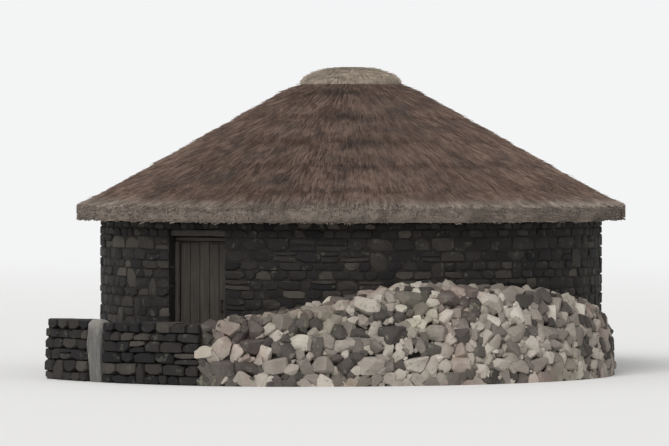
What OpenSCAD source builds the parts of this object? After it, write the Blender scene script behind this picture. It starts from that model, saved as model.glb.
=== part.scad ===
// Round stone hut with a thatched cone roof, a plank door and a low forecourt wall.
// The origin is on the hut's axis at the lowest ground, +Z is up and the doorway faces -Y.

/* [Round wall] */
// Outer radius of the round wall
wall_r = 3250; // [2900:10:3600]
// Thickness of the round wall
wall_t = 450; // [400:10:520]
// Height of the masonry above the lowest ground
wall_h = 1980; // [1900:10:2300]
// Thickness of the rammed earth floor
floor_t = 100; // [60:5:180]

/* [Doorway] */
// Width of the doorway between the frame posts
door_w = 780; // [680:10:900]
// Height of the threshold stone above the lowest ground
sill_h = 130; // [110:5:160]
// Thickness of the frame posts and the frame head
frame_t = 60; // [45:5:75]
// Depth of the frame, from its outer face to its inner face
frame_d = 110; // [100:5:130]
// How far the frame stands back from the outer face of the wall
frame_back = 140; // [110:5:170]
// How far the stop reaches in front of the leaf
stop_w = 15; // [10:1:25]
// Thickness of the stop
stop_t = 30; // [20:1:35]
// Height of the lintel beams over the doorway
lintel_h = 100; // [80:5:120]
// Length of each lintel end that rests on the wall
lintel_rest = 150; // [100:10:220]
// Height of the masonry over the lintel beams
over_h = 80; // [60:5:200]

/* [Door leaf] */
// Running gap round the leaf
leaf_gap = 8; // [8:0.5:10]
// Thickness of the planks
plank_t = 30; // [24:1:34]
// How many planks make the leaf
plank_count = 5; // [4:1:6]
// Thickness of the ledges behind the planks
ledge_t = 25; // [20:1:30]
// Height of each ledge
ledge_h = 110; // [90:5:140]
// Distance from the end of the leaf to the nearest ledge
ledge_inset = 170; // [120:10:240]
// Thickness of the iron straps
strap_t = 6; // [4:0.5:8]
// Height of the iron straps
strap_h = 40; // [30:1:50]
// Length of the iron straps
strap_l = 520; // [380:10:600]
// Diameter of the hinge pins
pin_d = 14; // [10:1:18]
// Wall of the eye round a hinge pin
eye_wall = 8; // [6:1:10]

/* [Roof frame] */
// Pitch of the roof in degrees
pitch = 29.5; // [26:0.5:33]
// Diameter of the rafter poles
rafter_d = 90; // [70:5:110]
// How many rafters reach the crown, and how many short ones stand between them
rafter_count = 12; // [8:1:14]
// Diameter of the hoops that carry the thatch
hoop_d = 35; // [25:1:45]
// How many hoops lie on the rafters
hoop_count = 8; // [5:1:10]
// Width of the wall plate
plate_w = 100; // [80:5:130]
// Thickness of the wall plate at its outer edge
plate_t = 34; // [28:1:50]
// Distance from the inner face of the wall to the wall plate
plate_in = 100; // [60:5:140]
// Outer radius of the crown ring
crown_r = 400; // [340:10:460]
// Width of the crown ring's section
crown_w = 70; // [50:5:90]
// Radius of the hoop that ties the ends of the short rafters
tie_r = 1200; // [1000:10:1500]
// Diameter of the tie hoop
tie_d = 45; // [35:1:60]

/* [Thatch] */
// Thickness of the thatch
thatch_t = 240; // [180:5:280]
// How far the eave stands out from the wall
eave_out = 330; // [280:5:380]
// Width of the flatter band along the eave
flare_w = 480; // [420:10:560]
// Pitch of the flatter band in degrees
flare_pitch = 25; // [21:0.5:28]
// Width of the rounded edge of the eave
eave_lip = 50; // [30:1:70]
// How far each course stands over the one below it
course_step = 14; // [8:1:24]
// Radius at which the slope turns into the rounded crown
dome_r = 900; // [800:10:1000]
// Radius of the rounded cap
cap_r = 660; // [580:10:720]
// Height of the cap from its rim to its top
cap_h = 230; // [170:5:280]

/* [Forecourt wall] */
// Clear width between the hut and the low wall
court_w = 750; // [650:10:900]
// Thickness of the low wall at its foot
low_t = 420; // [340:10:480]
// Height of the low wall
low_h = 780; // [600:10:900]
// How much narrower each face of the low wall gets towards its top
low_batter = 22; // [0:1:40]
// Width of the pale upright stone
upright_w = 270; // [200:10:320]

/* [Stone bank] */
// Greatest height of the stone bank
bank_h = 1200; // [1000:10:1400]
// Width of the largest boulders in the bank
boulder_w = 420; // [340:10:460]

/* [Hidden] */
$fn = 360;
small_fn = 48;
seat = 0.3;
course_gap = 0.7;
open_end = 5;
past = 10;
joint_turn = 2 * asin(seat / wall_r / 2);

// Plan of the round wall: ten segments that start and end at the doorway
segment_turn = 36;
wall_in = wall_r - wall_t;
rough_w = door_w + 2 * frame_t;
frame_y = -wall_r + frame_back;
sill_back = 25;
over_z = wall_h - over_h;
lintel_z = over_z - lintel_h;
head_z = lintel_z - frame_t;
door_h = head_z - sill_h;
lintel_l = rough_w + 2 * lintel_rest;
lintel_y0 = -sqrt(pow(wall_r, 2) - pow(lintel_l / 2, 2)) + open_end;
lintel_y1 = -wall_in - open_end;
lintel_gap = 6;
lintel_count = 3;

// Door leaf
leaf_w = door_w - 2 * leaf_gap;
leaf_h = door_h - 2 * leaf_gap;
leaf_z = sill_h + leaf_gap;
plank_y = frame_y + stop_t + leaf_gap;
ledge_y = plank_y + plank_t;
strap_y = ledge_y + ledge_t;
pin_play = 1;
pin_over = 8;
ledge_clear = 10;
ledge_back = 35;
eye_d = pin_d + pin_play + 2 * eye_wall;
pin_x = -door_w / 2 + leaf_gap + eye_d / 2;
pin_y = strap_y + strap_t / 2;
ledge_x = pin_x + eye_d / 2 + ledge_clear;
ledge_end = leaf_w / 2 - ledge_back;
ledge_low = leaf_z + ledge_inset;
ledge_high = leaf_z + leaf_h - ledge_inset - ledge_h;
ledge_places = [ledge_low, (ledge_low + ledge_high) / 2, ledge_high];
hinge_places = [ledge_low + ledge_h / 2, ledge_high + ledge_h / 2];
plank_gap = 2;
plank_w = (leaf_w - (plank_count - 1) * plank_gap) / plank_count;

// Roof lines: a height at a radius, at a distance square to the rafters' undersides
plate_r0 = wall_in + plate_in;
plate_r1 = plate_r0 + plate_w;
hoop_line = rafter_d + hoop_d / 2;
under = rafter_d + hoop_d;
function line(r, d) = wall_h + plate_t + (plate_r1 - r) * tan(pitch) + d / cos(pitch);
function point(r, d) = [r + d * sin(pitch), line(r, 0) + d * cos(pitch)];

rafter_heel = 4;
rafter_foot = plate_r1 + (plate_t - rafter_heel) / tan(pitch);
rafter_top_r = rafter_foot + rafter_d * sin(pitch);
packing_r0 = rafter_top_r + open_end;
packing_r1 = wall_r - 2 * open_end;
crown_z0 = line(crown_r, 0) - open_end;
crown_z1 = line(crown_r, rafter_d) + open_end;

// Thatch
eave_r = wall_r + eave_out;
flare_r = eave_r - flare_w;
flare_base = flare_r - (under + thatch_t) * sin(pitch);
dome_base = dome_r - (under + thatch_t) * sin(pitch);
course_count = 4;
course_w = (flare_base - dome_base) / course_count;
flare_z = line(flare_base, 0) + (under + thatch_t) * cos(pitch);
eave_z0 = wall_h + open_end;
eave_z1 = flare_z - (flare_w - eave_lip) * tan(flare_pitch);
dome_rad = dome_r / sin(pitch);
dome_z = line(dome_base, 0) + (under + thatch_t) * cos(pitch) - dome_rad * cos(pitch);
function dome(r) = dome_z + sqrt(pow(dome_rad, 2) - pow(r, 2));
cap_lap = 60;
cap_seat_r = cap_r - cap_lap;
cap_seat_z = dome(cap_seat_r);
cap_rim_z = dome(cap_r);
crown_seat_r = plate_r1 - (crown_z1 + seat - wall_h - plate_t - under / cos(pitch)) / tan(pitch);

// Forecourt wall and bank, both measured from the round wall
low_r0 = wall_r + court_w;
low_r1 = low_r0 + low_t;
low_start = 245;
low_joint = 272;
low_end = 281.5;
upright_turn = 260;
upright_over = 10;
upright_proud = 15;
upright_h = low_h + upright_over;
bank_reach = court_w + low_t;
// Each station of the bank: direction, height, foot and shoulder as shares
bank_plan = [
    [281.5, 0.633, 1.00, 0.90],
    [291, 0.71, 0.93, 0.66],
    [302, 0.83, 0.80, 0.42],
    [317, 1.00, 0.70, 0.36],
    [331, 1.00, 0.62, 0.36],
    [350, 0.94, 0.50, 0.42],
    [372, 0.775, 0.34, 0.46],
    [392, 0.35, 0.11, 0.60],
];
bank_turns = [281.5, 306, 331, 358, 392];
bank_steps = 6;
function bank_share(turn, column) = lookup(turn, [for (s = bank_plan) [s[0], s[column]]]);
function bank_height(turn) = bank_h * bank_share(turn, 1);
function bank_foot(turn) = bank_reach * bank_share(turn, 2);
function bank_shoulder(turn) = bank_foot(turn) * bank_share(turn, 3);
mid_rise = 0.5;
shoulder_rise = 0.94;
mid_share = 0.6;
function bank_waist(turn) = bank_foot(turn) * mid_share + bank_shoulder(turn) * (1 - mid_share);

// Boulders in the bank: rows up its slope, each boulder a block of these shares of its width
boulder_rows = 3;
boulder_turn = 8;
boulder_block = [0.8, 1, 0.62];
boulder_half = norm(boulder_block) / 2;
boulder_least = 0.35;
boulder_low = 0.1;
boulder_in = 0.2;
top_row = 0.86;
boulder_yaw = 40;
boulder_tilt = 12;

SEGMENTS = [
    "wall_right_of_door", "wall_front_right", "wall_right", "wall_back_right", "wall_back_mid_right",
    "wall_back_mid_left", "wall_back_left", "wall_left", "wall_front_left", "wall_left_of_door",
];
BANKS = ["stone_bank_left", "stone_bank_middle", "stone_bank_right", "stone_bank_end"];
COURSES = ["thatch_course_2", "thatch_course_3", "thatch_course_4", "thatch_course_5"];

// A wedge seen from above, between two directions, that reaches past the radius
module wedge(from, to, r, h) {
    reach = r / cos((to - from) / 2) + past;
    linear_extrude(h)
        polygon([[0, 0], reach * [cos(from), sin(from)], reach * [cos(to), sin(to)]]);
}

module ring(r0, r1, z0, z1) {
    translate([0, 0, z0])
        difference() {
            cylinder(r = r1, h = z1 - z0);
            translate([0, 0, -past]) cylinder(r = r0, h = z1 - z0 + 2 * past);
        }
}

module block(x0, x1, y0, y1, z0, z1) {
    translate([x0, y0, z0]) cube([x1 - x0, y1 - y0, z1 - z0]);
}

// The round wall

module earth_floor() {
    color("#8a7358") cylinder(r = wall_in - seat, h = floor_t);
}

module threshold_stone() {
    color("#6d6861")
        difference() {
            block(-rough_w / 2, rough_w / 2, -wall_r + sill_back, -wall_in / 2, 0, sill_h);
            translate([0, 0, -past]) cylinder(r = wall_in, h = sill_h + 2 * past);
        }
}

// The doorway cut: as wide as the frame and as deep as the wall
module doorway(z0, z1) {
    block(-rough_w / 2, rough_w / 2, -wall_r - past, -wall_in / 2, z0, z1);
}

module lintel_bed() {
    end = lintel_l / 2 + seat;
    block(-end, end, lintel_y0 - seat, lintel_y1 + seat, lintel_z, over_z);
}

module wall_segment(i) {
    start = 270 + i * segment_turn;
    color("#3d3833")
        difference() {
            intersection() {
                ring(wall_in, wall_r, 0, wall_h);
                wedge(start, start + segment_turn, wall_r, wall_h);
            }
            doorway(-past, wall_h + past);
            lintel_bed();
        }
}

module wall_over_door() {
    color("#3d3833")
        intersection() {
            ring(wall_in, wall_r, over_z, wall_h);
            doorway(0, wall_h);
        }
}

// The doorway

module door_lintel() {
    depth = (lintel_y1 - lintel_y0 - (lintel_count - 1) * lintel_gap) / lintel_count;
    color("#5a4632")
        for (i = [0 : lintel_count - 1])
            translate([-lintel_l / 2, lintel_y0 + i * (depth + lintel_gap), lintel_z])
                cube([lintel_l, depth, lintel_h]);
}

module frame_left_post() {
    color("#6b533a")
        union() {
            block(-rough_w / 2, -door_w / 2, frame_y, frame_y + frame_d, sill_h, head_z);
            block(-door_w / 2, -door_w / 2 + stop_w, frame_y, frame_y + stop_t, sill_h, head_z);
        }
}

module frame_right_post() {
    color("#6b533a") mirror([1, 0, 0]) frame_left_post();
}

module frame_head() {
    stop_end = door_w / 2 - stop_w;
    color("#6b533a")
        union() {
            block(-rough_w / 2, rough_w / 2, frame_y, frame_y + frame_d, head_z, lintel_z);
            block(-stop_end, stop_end, frame_y, frame_y + stop_t, head_z - stop_w, head_z);
        }
}

// A pin that stands on an arm fixed to the left post
module hinge_pin(z) {
    arm_h = pin_d;
    pin_l = arm_h + strap_h + pin_over;
    low = z - strap_h / 2 - seat;
    block(-door_w / 2, pin_x, pin_y - pin_d / 2, pin_y + pin_d / 2, low - arm_h, low);
    translate([pin_x, pin_y, low - arm_h]) cylinder(d = pin_d, h = pin_l, $fn = small_fn);
}

module hinge_pins() {
    color("#3a3532")
        for (z = hinge_places)
            hinge_pin(z);
}

module door_planks() {
    color("#7d6a52")
        for (i = [0 : plank_count - 1])
            translate([-leaf_w / 2 + i * (plank_w + plank_gap), plank_y, leaf_z])
                cube([plank_w, plank_t, leaf_h]);
}

module door_ledges() {
    color("#6f5c46")
        for (z = ledge_places)
            block(ledge_x, ledge_end, ledge_y, strap_y, z, z + ledge_h);
}

module door_strap(z) {
    low = z - strap_h / 2;
    bore = pin_d + pin_play;
    difference() {
        union() {
            block(pin_x, pin_x + strap_l, strap_y, strap_y + strap_t, low, low + strap_h);
            translate([pin_x, pin_y, low]) cylinder(d = eye_d, h = strap_h, $fn = small_fn);
        }
        translate([pin_x, pin_y, low - past]) cylinder(d = bore, h = strap_h + 2 * past, $fn = small_fn);
    }
}

module door_straps() {
    color("#3a3532")
        for (z = hinge_places)
            door_strap(z);
}

module door_handle() {
    grip_d = 22;
    grip_l = 180;
    reach = 45;
    grip_in = 90;
    x = leaf_w / 2 - grip_in;
    y = plank_y - reach;
    z = leaf_z + leaf_h / 2;
    color("#4b3a28")
        union() {
            translate([x, y, z - grip_l / 2]) cylinder(d = grip_d, h = grip_l, $fn = small_fn);
            for (side = [-1, 1])
                translate([x, y, z + side * (grip_l / 2 - grip_d)])
                    rotate([-90, 0, 0]) cylinder(d = grip_d, h = reach, $fn = small_fn);
        }
}

// The roof frame

module wall_plate() {
    color("#5a4632")
        rotate_extrude()
            polygon([
                [plate_r0, wall_h],
                [plate_r1, wall_h],
                [plate_r1, line(plate_r1, -seat)],
                [plate_r0, line(plate_r0, -seat)],
            ]);
}

module wall_head_packing() {
    color("#7b674d")
        rotate_extrude()
            polygon([
                [packing_r0, wall_h],
                [packing_r1, wall_h],
                [packing_r1, line(packing_r1, under - seat)],
                [packing_r0, line(packing_r0, under - seat)],
            ]);
}

// A rafter pole that starts on the wall plate and climbs towards the axis
module rafter(length) {
    foot = [rafter_foot, line(rafter_foot, 0)] + rafter_d / 2 * [sin(pitch), cos(pitch)];
    translate([foot[0], 0, foot[1]])
        rotate([0, pitch - 90, 0])
            cylinder(d = rafter_d, h = length, $fn = small_fn);
}

module long_rafters() {
    length = (rafter_foot - crown_r / 2) / cos(pitch);
    color("#6e5a40")
        difference() {
            for (i = [0 : rafter_count - 1])
                rotate([0, 0, (i + 0.5) * 360 / rafter_count]) rafter(length);
            translate([0, 0, wall_h]) cylinder(r = crown_r + seat, h = 3 * wall_h);
        }
}

module short_rafters() {
    length = (rafter_foot - tie_r + 2 * tie_d) / cos(pitch);
    color("#6e5a40")
        for (i = [0 : rafter_count - 1])
            rotate([0, 0, i * 360 / rafter_count]) rafter(length);
}

module hoop(r, z, d) {
    translate([0, 0, z])
        rotate_extrude()
            translate([r, 0]) circle(d = d, $fn = small_fn);
}

module roof_hoops() {
    low = rafter_foot - 3 * hoop_d;
    high = crown_r + 3 * hoop_d;
    color("#806848")
        for (i = [0 : hoop_count - 1]) {
            r = low + (high - low) * i / (hoop_count - 1);
            at = point(r, hoop_line);
            hoop(at[0], at[1], hoop_d - 2 * seat);
        }
}

module tie_hoop() {
    at = point(tie_r, -tie_d / 2 - seat);
    color("#806848") hoop(at[0], at[1], tie_d);
}

module crown_ring() {
    bar = 50;
    color("#5a4632")
        union() {
            ring(crown_r - crown_w, crown_r, crown_z0, crown_z1);
            for (turn = [0, 90])
                rotate([0, 0, turn])
                    translate([-crown_r + crown_w / 2, 0, crown_z1 - bar])
                        rotate([0, 90, 0]) cylinder(d = bar, h = 2 * crown_r - crown_w, $fn = small_fn);
        }
}

// The thatch

module thatch_eave_course() {
    mid = (eave_z0 + eave_z1) / 2;
    half = (eave_z1 - eave_z0) / 2;
    lip = [for (a = [-90 : 22.5 : 90]) [eave_r - eave_lip + eave_lip * cos(a), mid + half * sin(a)]];
    color("#9b8b6e")
        rotate_extrude()
            polygon(concat(
                [point(flare_base, under), [wall_r - open_end, line(wall_r - open_end, under)]],
                lip,
                [point(flare_base, under + thatch_t)]
            ));
}

module thatch_course(i) {
    low = flare_base - i * course_w - course_gap;
    high = low - course_w + course_gap;
    color("#8d7c62")
        rotate_extrude()
            polygon([
                point(low, under),
                point(low, under + thatch_t + course_step),
                point(high, under + thatch_t),
                point(high, under),
            ]);
}

module thatch_crown_course() {
    start = dome_base - course_gap;
    first = point(start, under + thatch_t + course_step);
    steps = 3;
    dome_lap = 4;
    dome_start = dome_rad * sin(pitch - dome_lap);
    slope = [
        for (i = [0 : steps])
            let (r = dome_start + (cap_r - dome_start) * i / steps) [r, dome(r)]
    ];
    color("#8d7c62")
        rotate_extrude()
            polygon(concat(
                [[0, crown_z1 + seat], [crown_seat_r, crown_z1 + seat], point(start, under), first],
                slope,
                [[cap_seat_r, cap_seat_z], [0, cap_seat_z]]
            ));
}

// A rounded cap that laps down over the crown course
module thatch_cap() {
    bend = 10;
    top = [
        for (i = [0 : bend])
            let (a = 90 * i / bend) [cap_r * cos(a), cap_rim_z + seat + cap_h * sin(a)]
    ];
    color("#b3a588")
        rotate_extrude()
            polygon(concat([[0, cap_seat_z + seat], [cap_seat_r, cap_seat_z + seat]], top));
}

// The forecourt wall and the bank

// The pale slab stands through the wall, with an uneven top
module upright_stone() {
    half = upright_w / 2;
    color("#a39c90")
        rotate([0, 0, upright_turn])
            translate([low_r0 - upright_proud, 0, 0])
                rotate([90, 0, 90])
                    linear_extrude(low_t + 2 * upright_proud)
                        polygon([
                            [-half, 0],
                            [half, 0],
                            [half, upright_h * 0.92],
                            [half * 0.63, upright_h],
                            [-half * 0.33, upright_h * 0.97],
                            [-half, upright_h * 0.86],
                        ]);
}

module low_wall(from, to) {
    slot = upright_w / 2 + seat;
    color("#4a443d")
        difference() {
            intersection() {
                rotate_extrude()
                    polygon([
                        [low_r0, 0], [low_r1, 0],
                        [low_r1 - low_batter, low_h], [low_r0 + low_batter, low_h],
                    ]);
                wedge(from, to, low_r1, low_h);
            }
            rotate([0, 0, upright_turn])
                block(0, 2 * low_r1, -slot, slot, -past, low_h + past);
        }
}

module low_wall_end() {
    low_wall(low_start, upright_turn);
}

module low_wall_middle() {
    low_wall(upright_turn, low_joint);
}

module low_wall_root() {
    low_wall(low_joint, low_end);
}

// The section of the bank in one direction, from the inner foot round to the inner top
function bank_section(turn, inner) =
    let (h = bank_height(turn))
    [
        [inner, 0],
        [wall_r + bank_foot(turn), 0],
        [wall_r + bank_waist(turn), h * mid_rise],
        [wall_r + bank_shoulder(turn), h * shoulder_rise],
        [inner, h],
    ];

module bank_body(i) {
    from = bank_turns[i] + joint_turn;
    to = bank_turns[i + 1];
    step = (to - from) / bank_steps;
    inner = (wall_r + seat) / cos(step / 2);
    sides = 5;
    points = [
        for (k = [0 : bank_steps])
            for (p = bank_section(from + k * step, inner))
                [p[0] * cos(from + k * step), p[0] * sin(from + k * step), p[1]]
    ];
    faces = [
        for (k = [0 : bank_steps - 1])
            for (j = [0 : sides - 1])
                let (a = k * sides + j, b = k * sides + (j + 1) % sides)
                    each [[a, b, a + sides], [b, b + sides, a + sides]]
    ];
    polyhedron(
        points = points,
        faces = concat(faces, [
            [for (j = [sides - 1 : -1 : 0]) j],
            [for (j = [0 : sides - 1]) bank_steps * sides + j],
        ])
    );
}

// One boulder, left out where it would reach into the round wall or past the bank's end
module boulder(i, turn, row, k) {
    h = bank_height(turn);
    narrow = boulder_least + (1 - boulder_least) * bank_share(turn, 2);
    w = boulder_w * narrow * min(1, h / bank_h + boulder_low);
    low = boulder_half * w;
    z = low + (top_row * h - low) * row / (boulder_rows - 1);
    out = lookup(z / h, [
        [0, bank_foot(turn)], [mid_rise, bank_waist(turn)], [shoulder_rise, bank_shoulder(turn)],
    ]);
    r = wall_r + out - boulder_in * w;
    margin = asin(boulder_half * w / r);
    fits = r - low > wall_r && turn - margin > bank_turns[i] && turn + margin < bank_turns[i + 1];
    if (fits)
        rotate([0, 0, turn])
            translate([r, 0, z])
                rotate([
                    boulder_tilt * sin(71 * k + 143 * row),
                    boulder_tilt * cos(97 * k + 59 * row),
                    boulder_yaw * sin(131 * k + 83 * row + 30 * i),
                ])
                    cube(w * boulder_block, center = true);
}

module stone_bank(i) {
    span = bank_turns[i + 1] - bank_turns[i];
    many = floor(span / boulder_turn);
    color("#8f8a80")
        union() {
            bank_body(i);
            for (row = [0 : boulder_rows - 1])
                for (k = [0 : many - 1 - row % 2])
                    boulder(i, bank_turns[i] + span * (k + 0.5 + 0.5 * (row % 2)) / many, row, k);
        }
}

for (i = [0 : len(SEGMENTS) - 1])
    wall_segment(i);
for (i = [0 : len(COURSES) - 1])
    thatch_course(i);
for (i = [0 : len(BANKS) - 1])
    stone_bank(i);
earth_floor();
threshold_stone();
wall_over_door();
door_lintel();
frame_left_post();
frame_right_post();
frame_head();
hinge_pins();
door_planks();
door_ledges();
door_straps();
door_handle();
wall_plate();
wall_head_packing();
long_rafters();
short_rafters();
roof_hoops();
tie_hoop();
crown_ring();
thatch_eave_course();
thatch_crown_course();
thatch_cap();
low_wall_end();
upright_stone();
low_wall_middle();
low_wall_root();
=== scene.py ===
import math
import random

import bpy
import numpy as np
from mathutils import Euler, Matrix, Quaternion, Vector, noise


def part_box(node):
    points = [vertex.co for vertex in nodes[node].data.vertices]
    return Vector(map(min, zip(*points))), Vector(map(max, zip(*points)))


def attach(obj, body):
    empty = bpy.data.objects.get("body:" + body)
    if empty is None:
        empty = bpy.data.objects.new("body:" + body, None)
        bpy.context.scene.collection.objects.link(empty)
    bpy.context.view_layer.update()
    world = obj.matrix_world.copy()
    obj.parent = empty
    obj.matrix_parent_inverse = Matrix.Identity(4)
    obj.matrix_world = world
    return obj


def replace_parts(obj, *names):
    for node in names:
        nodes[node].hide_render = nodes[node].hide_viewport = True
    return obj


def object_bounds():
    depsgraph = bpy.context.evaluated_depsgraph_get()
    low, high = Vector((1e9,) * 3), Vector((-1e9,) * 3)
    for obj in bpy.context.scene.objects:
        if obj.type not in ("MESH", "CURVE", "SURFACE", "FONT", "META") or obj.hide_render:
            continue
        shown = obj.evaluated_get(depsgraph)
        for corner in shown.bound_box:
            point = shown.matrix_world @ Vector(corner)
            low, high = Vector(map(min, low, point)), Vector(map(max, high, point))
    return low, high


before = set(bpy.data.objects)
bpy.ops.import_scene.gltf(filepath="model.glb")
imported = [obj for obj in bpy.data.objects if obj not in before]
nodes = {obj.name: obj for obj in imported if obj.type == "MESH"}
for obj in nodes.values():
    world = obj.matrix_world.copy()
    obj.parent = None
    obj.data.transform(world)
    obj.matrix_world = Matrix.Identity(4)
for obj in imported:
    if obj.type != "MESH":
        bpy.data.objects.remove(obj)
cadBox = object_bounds()
print("frame loaded")

hut = {
    "wallRadius": 3.25,
    "wallHeight": 1.98,
    "doorHead": 1.8,
    "overDoor": 1.9,
    "doorTurn": -math.pi / 2,  # the doorway faces -Y
}


def clearAll():
    if bpy.context.object and bpy.context.object.mode != "OBJECT":
        bpy.ops.object.mode_set(mode="OBJECT")
    bpy.ops.object.select_all(action="DESELECT")


def only(thing):
    clearAll()
    thing.select_set(True)
    bpy.context.view_layer.objects.active = thing


def editAll(thing):
    only(thing)
    bpy.ops.object.mode_set(mode="EDIT")
    bpy.ops.mesh.select_all(action="SELECT")


def getPoints(thing):
    points = np.empty(len(thing.data.vertices) * 3)
    thing.data.vertices.foreach_get("co", points)
    return points.reshape(-1, 3)


def setPoints(thing, points):
    thing.data.vertices.foreach_set("co", np.ascontiguousarray(points, np.float32).ravel())
    thing.data.update()


def takeShape(thing):
    # a modelled shape as plain arrays, ready to be copied many times
    points = getPoints(thing)
    thing.data.calc_loop_triangles()
    faces = np.empty(len(thing.data.loop_triangles) * 3, np.int32)
    thing.data.loop_triangles.foreach_get("vertices", faces)
    bpy.data.objects.remove(thing)
    return {"points": points, "faces": faces.reshape(-1, 3)}


def startBlock(bevel, segments=1, **place):
    # a cube with its edges broken, left in edit mode
    clearAll()
    bpy.ops.mesh.primitive_cube_add(size=1, **place)
    block = bpy.context.object
    bpy.ops.object.transform_apply(location=True, rotation=False, scale=True)
    editAll(block)
    if bevel:
        bpy.ops.mesh.bevel(offset=bevel, segments=segments, affect="EDGES")
    return block


def cut(place, facing, clear=False):
    # a plane cuts all that there is; clear takes away what lies beyond it and closes the cut
    bpy.ops.mesh.select_all(action="SELECT")
    bpy.ops.mesh.bisect(plane_co=place, plane_no=facing, use_fill=clear, clear_outer=clear)


def cutEvenly(low, size, spacing):
    # cuts across each axis, so that the faces can be roughened
    for axis in range(3):
        count = round(size[axis] / spacing)
        for i in range(1, count):
            place, facing = list(low), [0, 0, 0]
            place[axis] += i * size[axis] / count
            facing[axis] = 1
            cut(place, facing)


def finishBlock(weld=None):
    bpy.ops.mesh.select_all(action="SELECT")
    if weld:
        bpy.ops.mesh.remove_doubles(threshold=weld)
    bpy.ops.mesh.quads_convert_to_tris()
    bpy.ops.object.mode_set(mode="OBJECT")


def faceOut(thing):
    editAll(thing)
    bpy.ops.mesh.normals_make_consistent(inside=False)
    bpy.ops.object.mode_set(mode="OBJECT")


def fitUnit(thing):
    # the shape, stretched to fill a unit cube round the origin
    points = getPoints(thing)
    low, high = points.min(0), points.max(0)
    setPoints(thing, (points - low) / (high - low) - 0.5)
    return takeShape(thing)


class Heap:
    # many copies of modelled shapes, gathered into one mesh
    def __init__(self):
        self.points = []
        self.faces = []
        self.tones = []
        self.count = 0

    def lay(self, points, faces, tones):
        self.points.append(points)
        self.faces.append(faces + self.count)
        self.tones.append(np.clip(tones, 0, 1))
        self.count += len(points)

    def layMany(self, shape, origin, across, along, up, tones):
        local = shape["points"][None]
        placed = (
            origin[:, None]
            + local[:, :, 0:1] * across[:, None]
            + local[:, :, 1:2] * along[:, None]
            + local[:, :, 2:3] * up[:, None]
        )
        starts = np.arange(len(origin)) * local.shape[1]
        faces = shape["faces"][None] + starts[:, None, None]
        shades = shape["tones"][None] + tones[:, None]
        self.lay(placed.reshape(-1, 3), faces.reshape(-1, 3), shades.ravel())

    def build(self, name, finish, slot, body="hut", smooth=None):
        points = np.concatenate(self.points).astype(np.float32)
        faces = np.concatenate(self.faces).astype(np.int32)
        tones = np.concatenate(self.tones).astype(np.float32)
        mesh = bpy.data.meshes.new(name)
        mesh.vertices.add(len(points))
        mesh.vertices.foreach_set("co", points.ravel())
        mesh.loops.add(faces.size)
        mesh.loops.foreach_set("vertex_index", faces.ravel())
        mesh.polygons.add(len(faces))
        mesh.polygons.foreach_set("loop_start", np.arange(0, faces.size, 3, dtype=np.int32))
        mesh.update(calc_edges=True)
        mesh.validate()
        tone = mesh.attributes.new("tone", "FLOAT", "POINT")
        tone.data.foreach_set("value", tones)
        thing = bpy.data.objects.new(name, mesh)
        bpy.context.scene.collection.objects.link(thing)
        return dress(thing, finish, body, smooth)


def dress(thing, finish, body="hut", smooth=None):
    only(thing)
    if smooth is None:
        bpy.ops.object.shade_flat()
    else:
        bpy.ops.object.shade_smooth_by_angle(angle=math.radians(smooth))
    thing.data.materials.clear()
    thing.data.materials.append(finish)
    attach(thing, body)
    return thing


def sweep(name, rings, around):
    # a grid is added and bent onto the rings; each ring closes on itself, and around joins the ends
    rings = np.concatenate([rings, rings[:, :1]], axis=1)
    if around:
        rings = np.concatenate([rings, rings[:1]], axis=0)
    sections, points = rings.shape[:2]
    clearAll()
    bpy.ops.mesh.primitive_grid_add(x_subdivisions=points - 1, y_subdivisions=sections - 1, size=1)
    thing = bpy.context.object
    thing.name = thing.data.name = name
    setPoints(thing, rings.reshape(-1, 3))
    editAll(thing)
    bpy.ops.mesh.remove_doubles(threshold=0.0001)
    if not around:
        bpy.ops.mesh.select_all(action="DESELECT")
        bpy.ops.mesh.select_non_manifold(extend=False)
        bpy.ops.mesh.edge_face_add()
        bpy.ops.mesh.select_all(action="SELECT")
    bpy.ops.mesh.normals_make_consistent(inside=False)
    bpy.ops.object.mode_set(mode="OBJECT")
    return thing


def setTone(thing, values):
    tone = thing.data.attributes.new("tone", "FLOAT", "POINT")
    tone.data.foreach_set("value", np.full(len(thing.data.vertices), values, np.float32))


def standIn(name, rings, around, tone, finish, slot, smooth, *replaced):
    # a swept piece that takes the place of CAD nodes
    thing = sweep(name, np.array(rings), around)
    setTone(thing, tone)
    dress(thing, finish, smooth=smooth)
    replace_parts(thing, *replaced)


def spun(section, a):
    # a section of radii and heights, turned to its direction
    return [(r * math.cos(a), r * math.sin(a), z) for r, z in section]


def ripple(point, scale, seed=0.0):
    return noise.noise(Vector((point[0] * scale + seed, point[1] * scale - seed, point[2] * scale + seed)))


# Materials

class Pin:
    # a socket with sums written as Python
    def __init__(self, finish, socket):
        self.finish = finish
        self.socket = socket

    def maths(self, operation, *values):
        return self.finish.node("Math", {"operation": operation}, dict(enumerate(values)))

    def __add__(self, other):
        return self.maths("ADD", self, other)

    def __radd__(self, other):
        return self.maths("ADD", other, self)

    def __sub__(self, other):
        return self.maths("SUBTRACT", self, other)

    def __rsub__(self, other):
        return self.maths("SUBTRACT", other, self)

    def __mul__(self, other):
        return self.maths("MULTIPLY", self, other)

    def __rmul__(self, other):
        return self.maths("MULTIPLY", other, self)

    def __truediv__(self, other):
        return self.maths("DIVIDE", self, other)

    def __pow__(self, other):
        return self.maths("POWER", self, other)

    def fade(self, low, high):
        # 0 under low, 1 over high, smooth between
        settings = {"interpolation_type": "SMOOTHSTEP"}
        return self.finish.node("MapRange", settings, {0: self, 1: low, 2: high, 3: 0.0, 4: 1.0})


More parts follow.
